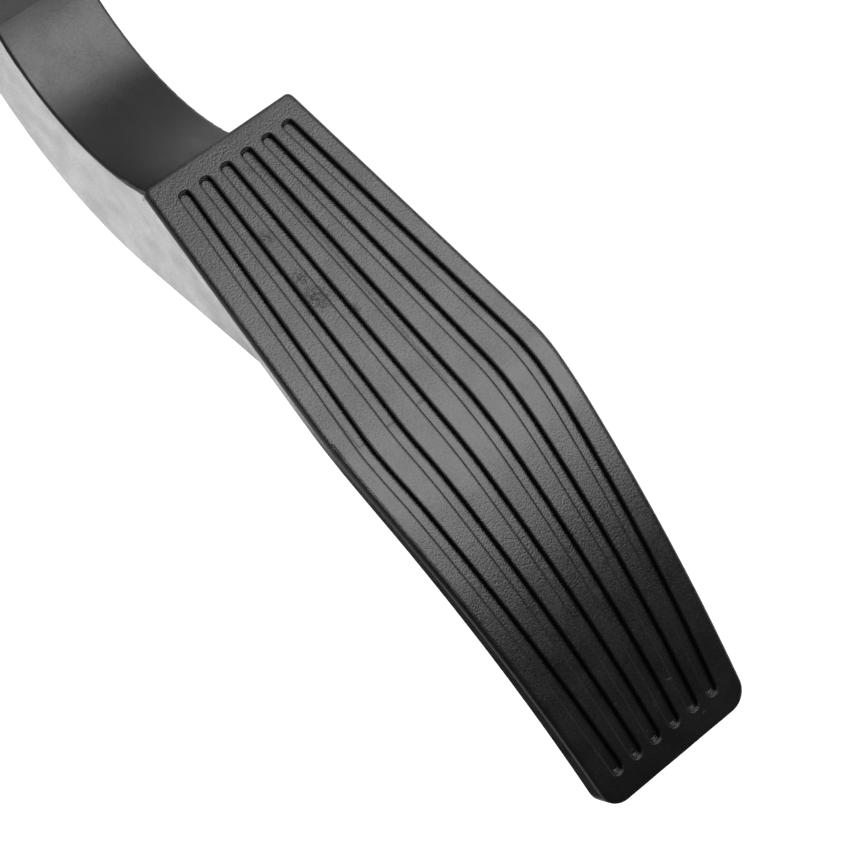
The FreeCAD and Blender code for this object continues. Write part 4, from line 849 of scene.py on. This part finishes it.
@dataclass
class CoverScrews:
    """Four self-tapping screws of the sensor cover, with a six-lobed recess and a coarse thread.

    Attributes:
        head_radius_mm: radius of the pan head.
        head_mm: height of the head.
        round_mm: rounding of the head's edge.
        round_steps: steps in that rounding.
        recess_mm: middle radius of the recess.
        recess_depth_mm: depth of the recess.
        recess_edge_mm: chamfer round the recess.
        lobes: number of the recess's lobes.
        lobe_mm: how far they go in and out.
        core_mm: radius under the thread.
        thread_mm: radius over the thread.
        pitch_mm: thread pitch.
        ridge: share of the pitch that the thread's ridge takes.
        rings_a_pitch: rings of points in one pitch.
        neck_mm: plain length under the head.
        blunt: share of its thickness that the point keeps.
        segments: points round the screw.
        sharp_degrees: angle from which an edge isn't shaded smooth.
        seed: seed of the angles that the screws are driven to.
    """

    head_radius_mm: float = 3.4
    head_mm: float = 2.4
    round_mm: float = 0.9
    round_steps: int = 6
    recess_mm: float = 1.3
    recess_depth_mm: float = 1.5
    recess_edge_mm: float = 0.08
    lobes: int = 6
    lobe_mm: float = 0.17
    core_mm: float = 1.25
    thread_mm: float = 1.75
    pitch_mm: float = 1.34
    ridge: float = 0.5
    rings_a_pitch: int = 8
    neck_mm: float = 0.05
    blunt: float = 0.45
    segments: int = 36
    sharp_degrees: float = 35.0
    seed: int = 11

    def ring(self, x_mm: float, radius: Callable[[float], float]) -> list[Point]:
        """Points round the screw's axis at one place along it."""
        points = []
        for index in range(self.segments):
            angle = 2 * math.pi * index / self.segments
            reach = radius(angle) * MM
            points.append((x_mm * MM, reach * math.cos(angle), reach * math.sin(angle)))
        return points

    def recess(self, angle: float) -> float:
        """Radius of the recess at an angle."""
        return self.recess_mm + self.lobe_mm * math.cos(self.lobes * angle)

    def thread(self, x_mm: float, angle: float) -> float:
        """Radius of the threaded shank at a place and an angle."""
        phase = (x_mm / self.pitch_mm - angle / (2 * math.pi)) % 1.0
        height = max(0.0, 1.0 - abs(phase - 0.5) * 2 / self.ridge)
        return self.core_mm + (self.thread_mm - self.core_mm) * height

    def rings(self, length_mm: float) -> list[list[Point]]:
        """The screw's rings from the recess's floor over the head to the shank's point."""
        edge, flat = self.recess_edge_mm, self.head_radius_mm - self.round_mm
        rings = [
            self.ring(self.recess_depth_mm, self.recess), self.ring(edge, self.recess),
            self.ring(0.0, lambda angle: self.recess(angle) + edge),
            self.ring(0.0, lambda angle: flat),
        ]
        for step in range(1, self.round_steps + 1):
            turn = math.pi / 2 * step / self.round_steps
            reach = flat + self.round_mm * math.sin(turn)
            rings.append(self.ring(self.round_mm * (1 - math.cos(turn)), lambda angle: reach))
        rings.append(self.ring(self.head_mm, lambda angle: self.head_radius_mm))
        rings.append(self.ring(self.head_mm, lambda angle: self.thread_mm))
        start = self.head_mm + self.neck_mm
        steps = int((length_mm - self.head_mm) / self.pitch_mm * self.rings_a_pitch)
        for index in range(steps + 1):
            x = start + (length_mm - start) * index / steps
            taper = min(1.0, (length_mm - x) / self.pitch_mm + self.blunt)
            rings.append(self.ring(x, lambda angle: self.thread(x, angle) * taper))
        return rings

    def master(self, length_mm: float) -> Object:
        """One screw with its head's top at the origin and its point along +X."""
        rings, count = self.rings(length_mm), self.segments
        points = [point for ring in rings for point in ring]
        points += [(self.recess_depth_mm * MM, 0, 0), (length_mm * MM, 0, 0)]
        floor, tip, end_row = len(points) - 2, len(points) - 1, (len(rings) - 1) * count
        faces: list[tuple[int, ...]] = []
        for row in range(0, end_row, count):
            for index in range(count):
                following = (index + 1) % count
                base = (row + index, row + following)
                faces.append((*base, base[1] + count, base[0] + count))
        for index in range(count):
            following = (index + 1) % count
            faces.append((floor, following, index))
            faces.append((tip, end_row + index, end_row + following))
        mesh = bpy.data.meshes.new("screw_master")
        mesh.from_pydata(points, [], [face[::-1] for face in faces])
        mesh.shade_smooth()
        mesh.set_sharp_from_angle(angle=math.radians(self.sharp_degrees))
        return shown("screw_master", mesh)

    def scatter_tree(self) -> NodeTree:
        """Builds the tree that puts a screw at each place, driven to an angle of its own."""
        tree, given, result = node_tree("driven_screws", {
            "Places": "NodeSocketGeometry", "Screw": "NodeSocketObject", "Seed": "NodeSocketInt",
            "Material": "NodeSocketMaterial",
        })
        value = given.outputs
        screw = add_node(tree, "GeometryNodeObjectInfo", {"Object": value["Screw"]})
        turn = add_node(tree, "FunctionNodeRandomValue", {
            "Min": 0.0, "Max": math.tau, "Seed": value["Seed"],
        }, data_type="FLOAT")
        placed = add_node(tree, "GeometryNodeInstanceOnPoints", {
            "Points": value["Places"], "Instance": screw.outputs["Geometry"],
            "Rotation": add_node(tree, "ShaderNodeCombineXYZ", {"X": turn}),
        })
        real = add_node(tree, "GeometryNodeRealizeInstances", {0: placed})
        last = add_node(tree, "GeometryNodeSetMaterial", {0: real, "Material": value["Material"]})
        tree.links.new(last.outputs[0], result.inputs[0])
        return tree

    def build(self) -> None:
        """Drives the four screws at the corners of the frame's own box of screws."""
        low, high = (Vector(corner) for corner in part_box("cover_screws"))
        reach = self.head_radius_mm * MM
        places = [(low.x, y, z) for y in (low.y + reach, high.y - reach)
                  for z in (low.z + reach, high.z - reach)]
        # Zinc-plated hardened steel: bluish, with soft clouds and worn crests.
        zinc = WorkedMetal("zinc_plated_screw", "#aab0b8", "#7d848d", roughness=0.32,
                           working=Working.PLATED, mark_mm=0.8)
        master = self.master((high.x - low.x) / MM)
        screws = grown("driven_screws", self.scatter_tree(), {
            "Screw": master, "Seed": self.seed, "Material": zinc.make(),
        }, places)
        bpy.data.objects.remove(master)
        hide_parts("cover_screws")
        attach(screws, Body.HOUSING.value)
        LOG.info("%s: %d faces", screws.name, len(screws.data.polygons))


@dataclass
class HousingSet:
    """Housing, stops and seal."""

    def dress(self) -> None:
        """Gives the fixed mouldings and rubbers their materials."""
        # Glass-filled nylon, moulded with an eroded grain: grey-black with pale fibre clouds.
        dress(["housing"], MouldedPlastic(
            "black_nylon_housing", "#0e0e10", "#19191b", grain_mm=0.5, grain_depth_mm=0.014,
            mottle_mm=12.0, edge_mm=0.3))
        # Moulded nitrile rubber: dull, slightly dusty black.
        dress(["rest_buffer", "full_travel_buffer"], GrainyMass(
            "nitrile_rubber", "#0f0f10", "#1d1d1e", roughness=0.72, grain_mm=0.35, ior=1.52))
        # Silicone rubber: brick red and soft-looking.
        dress(["cover_seal"], GrainyMass(
            "silicone_seal", "#7a2c1c", "#8c3b28", roughness=0.6, grain_mm=0.5, ior=1.41))


@dataclass
class SensorSet:
    """The sensor's cover, rotor, magnet and board with what is soldered to it."""

    terminals: int = 6
    capacitors: int = 4

    def dress(self) -> None:
        """Gives the sensor's pieces their materials."""
        # Glass-filled polyester: a slightly smoother, cooler black than the nylon.
        dress(["sensor_cover"], MouldedPlastic(
            "black_polyester_cover", "#101113", "#17181b", roughness=0.36, grain_mm=0.3,
            grain_depth_mm=0.008, mottle_mm=8.0, edge_mm=0.3, ior=1.57))
        # The same polyester, plain and polished where it turns.
        dress(["sensor_rotor"], MouldedPlastic(
            "polyester_rotor", "#131314", "#1c1c1e", roughness=0.4, grain_depth_mm=0.004))
        # Sintered hard ferrite: charcoal grey with a mineral sparkle.
        dress(["sensor_magnet"], GrainyMass(
            "hard_ferrite", "#2a2b2e", "#4b4d52", roughness=0.5, grain_mm=0.2, ior=2.3))
        dress(["sensor_board"], MaskedBoard())
        # Filled epoxy of a chip's case: black with fine silica.
        dress(["hall_sensor_front", "hall_sensor_rear"], GrainyMass(
            "chip_epoxy_case", "#111112", "#2a2a2c", roughness=0.55, grain_mm=0.12, ior=1.55))
        # Tinned brass wire: bright and slightly yellow.
        dress([f"terminal_{index + 1}" for index in range(self.terminals)], WorkedMetal(
            "tinned_terminal", "#c9c6bc", "#a5a298", roughness=0.22, working=Working.DRAWN,
            mark_mm=0.15))
        # Barium titanate body of a capacitor: matt tan.
        dress([f"board_capacitor_{index + 1}" for index in range(self.capacitors)], GrainyMass(
            "tan_ceramic", "#8a6a48", "#a58860", roughness=0.35, grain_mm=0.1, ior=1.8))


@dataclass(frozen=True)
class SoftBox:
    """A rectangular soft box that faces the pedal.

    Attributes:
        name: the light's name.
        toward: direction from the pedal to the box.
        away: how far the box is, in metres.
        size: width and height in metres.
        radiance: brightness of its face.
    """

    name: str
    toward: Point
    away: float
    size: tuple[float, float]
    radiance: float

    def hang(self, centre: Vector) -> None:
        """Hangs the box so that it faces a point."""
        data = bpy.data.lights.new(self.name, "AREA")
        data.shape = "RECTANGLE"
        data.size, data.size_y = self.size
        data.energy = self.radiance * math.pi * self.size[0] * self.size[1]
        box = shown(self.name, data)
        box.location = centre + Vector(self.toward).normalized() * self.away
        box.rotation_mode = "QUATERNION"
        box.rotation_quaternion = (box.location - centre).to_track_quat("Z", "Y")
        box.visible_camera = False


@dataclass
class Studio:
    """White floor, ceiling and backdrop, soft boxes and dim room light.

    Attributes:
        floor_level: height of the floor in metres, well under the hanging pedal.
        floor_half: half the floor's side in metres.
        ring_share: radius of the backdrop as a share of that.
        backdrop_sides: flat sides of each half of the backdrop.
        card: middle of the black card, half its length and half its height.
        centre: the point that the soft boxes face.
        boxes: the soft boxes.
        room_colour: sRGB colour of the room's light.
        room_strength: its strength.
    """

    floor_level: float = -0.9
    floor_half: float = 6.0
    ring_share: float = 0.9
    backdrop_sides: int = 32
    card: tuple[Point, ...] = ((-0.12, 0.08, -0.345), (0.0, 0.045, 0.125), (0.10, 0.03, 0.0))
    centre: Vector = field(default_factory=lambda: Vector((0.0, -0.11, -0.15)))
    boxes: tuple[SoftBox, ...] = (
        SoftBox("key_box", (0.36, -0.80, 0.41), 0.7, (0.6, 0.61), 5.5),
        SoftBox("side_box", (-0.44, 0.84, -0.24), 0.6, (0.4, 0.4), 3.2),
        SoftBox("top_box", (0.2, 0.1, 1.0), 1.2, (1.2, 1.2), 0.6),
        SoftBox("right_box", (1.0, 0.3, -0.05), 1.2, (1.2, 1.2), 0.6),
        SoftBox("left_box", (-1.0, -0.25, 0.3), 1.2, (0.9, 0.9), 0.6),
    )
    room_colour: str = "#dfe4ea"
    room_strength: float = 0.1

    def panel(self, name: str, surface: Surface, corners: list[Point],
              faces: list[tuple[int, ...]]) -> Object:
        """Makes a panel of the stage that lights nothing and casts no shadow."""
        mesh = bpy.data.meshes.new(name)
        mesh.from_pydata(corners, [], faces)
        mesh.materials.append(surface.material)
        panel = shown(name, mesh)
        panel.visible_diffuse = False
        panel.visible_shadow = False
        return panel

    def sheet(self, name: str, corners: list[Point], faces: list[tuple[int, ...]],
              mirrored: bool) -> None:
        """Sets up one white sheet of the stage, evenly lit by its own glow.

        Args:
            name: the sheet's name.
            corners: its corners.
            faces: the corners of each face.
            mirrored: whether it shows in the pedal's gloss.
        """
        surface = Surface(name + "_paint")
        surface.set(Base_Color=linear(WHITE), Roughness=0.9, Emission_Color=linear(WHITE),
                    Emission_Strength=1.0)
        sheet = self.panel(name, surface, corners, faces)
        sheet.visible_glossy = mirrored

    def backdrop(self) -> None:
        """Lays the floor, hangs the ceiling and stands the backdrop between in two half rings."""
        half, low = self.floor_half, self.floor_level
        bottom, top, radius = low - half, low + 2 * half, self.ring_share * half
        for name, level in (("floor", low), ("ceiling", top)):
            corners = [(x * half, y * half, level) for x, y in SQUARE]
            self.sheet(name, corners, [(0, 1, 2, 3)], False)
        for name, start, mirrored in (("rear_backdrop", 0.0, True),
                                      ("front_backdrop", math.pi, False)):
            corners = []
            for step in range(self.backdrop_sides + 1):
                angle = start + math.pi * step / self.backdrop_sides
                across, ahead = radius * math.cos(angle), radius * math.sin(angle)
                corners += [(across, ahead, bottom), (across, ahead, top)]
            faces = [(side, side + 2, side + 3, side + 1)
                     for side in range(0, 2 * self.backdrop_sides, 2)]
            self.sheet(name, corners, faces, mirrored)

    def dark_card(self) -> None:
        """Hangs a black card that only the gloss of the pad's left side sees."""
        surface = Surface("black_card")
        surface.set(Base_Color=linear("#020202"), Roughness=1.0, Specular_IOR_Level=0.0)
        middle, along, across = (Vector(part) for part in self.card)
        corners = [middle + along * u + across * v for u, v in SQUARE]
        card = self.panel("dark_card", surface, corners, [(0, 1, 2, 3)])
        card.visible_camera = False

    def light(self) -> None:
        """Sets the soft boxes and the room's dim light."""
        world = bpy.data.worlds.new("room")
        world.use_nodes = True
        background = world.node_tree.nodes["Background"].inputs
        background["Color"].default_value = linear(self.room_colour)
        background["Strength"].default_value = self.room_strength
        bpy.context.scene.world = world
        for box in self.boxes:
            box.hang(self.centre)


@dataclass
class PhotoCamera:
    """The camera of the photograph, fitted to the pad's grooves and edges.

    Attributes:
        eye: the lens, in metres.
        target: the point in the middle of the picture.
        roll: how far the picture's up leans to its right, in degrees.
        lens: focal length on the sensor's width, in millimetres.
        sensor: that width, in millimetres.
        clip: the nearest and farthest distance seen, in metres.
    """

    eye: Vector = field(default_factory=lambda: Vector((-0.21319, -0.63873, 0.04261)))
    target: Vector = field(default_factory=lambda: Vector((0.00209, -0.11778, -0.16299)))
    roll: float = 28.94
    lens: float = 127.32
    sensor: float = 36.0
    clip: tuple[float, float] = (0.05, 60.0)

    def place(self) -> None:
        """Makes the camera and gives it to the scene."""
        data = bpy.data.cameras.new("photo_camera")
        data.lens, data.sensor_width = self.lens, self.sensor
        data.clip_start, data.clip_end = self.clip
        camera = shown("photo_camera", data)
        ahead = (self.target - self.eye).normalized()
        level = (Vector((0, 0, 1)) - ahead * ahead.z).normalized()
        lean = math.radians(self.roll)
        upward = level * math.cos(lean) + ahead.cross(level) * math.sin(lean)
        turn = Matrix((ahead.cross(upward), upward, -ahead)).transposed().to_4x4()
        camera.matrix_world = Matrix.Translation(self.eye) @ turn
        bpy.context.scene.camera = camera


def main() -> None:
    """Loads the frame, dresses every node, builds the made pieces and sets the studio."""
    logging.basicConfig(level=logging.INFO, format="%(name)s: %(message)s")
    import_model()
    PedalLever().dress()
    PivotSet().dress()
    ReturnSprings().build()
    HousingSet().dress()
    SensorSet().dress()
    CoverScrews().build()
    studio = Studio()
    studio.backdrop()
    studio.dark_card()
    studio.light()
    PhotoCamera().place()
    bpy.context.scene.view_settings.view_transform = "Standard"


if __name__ == "__main__":
    main()
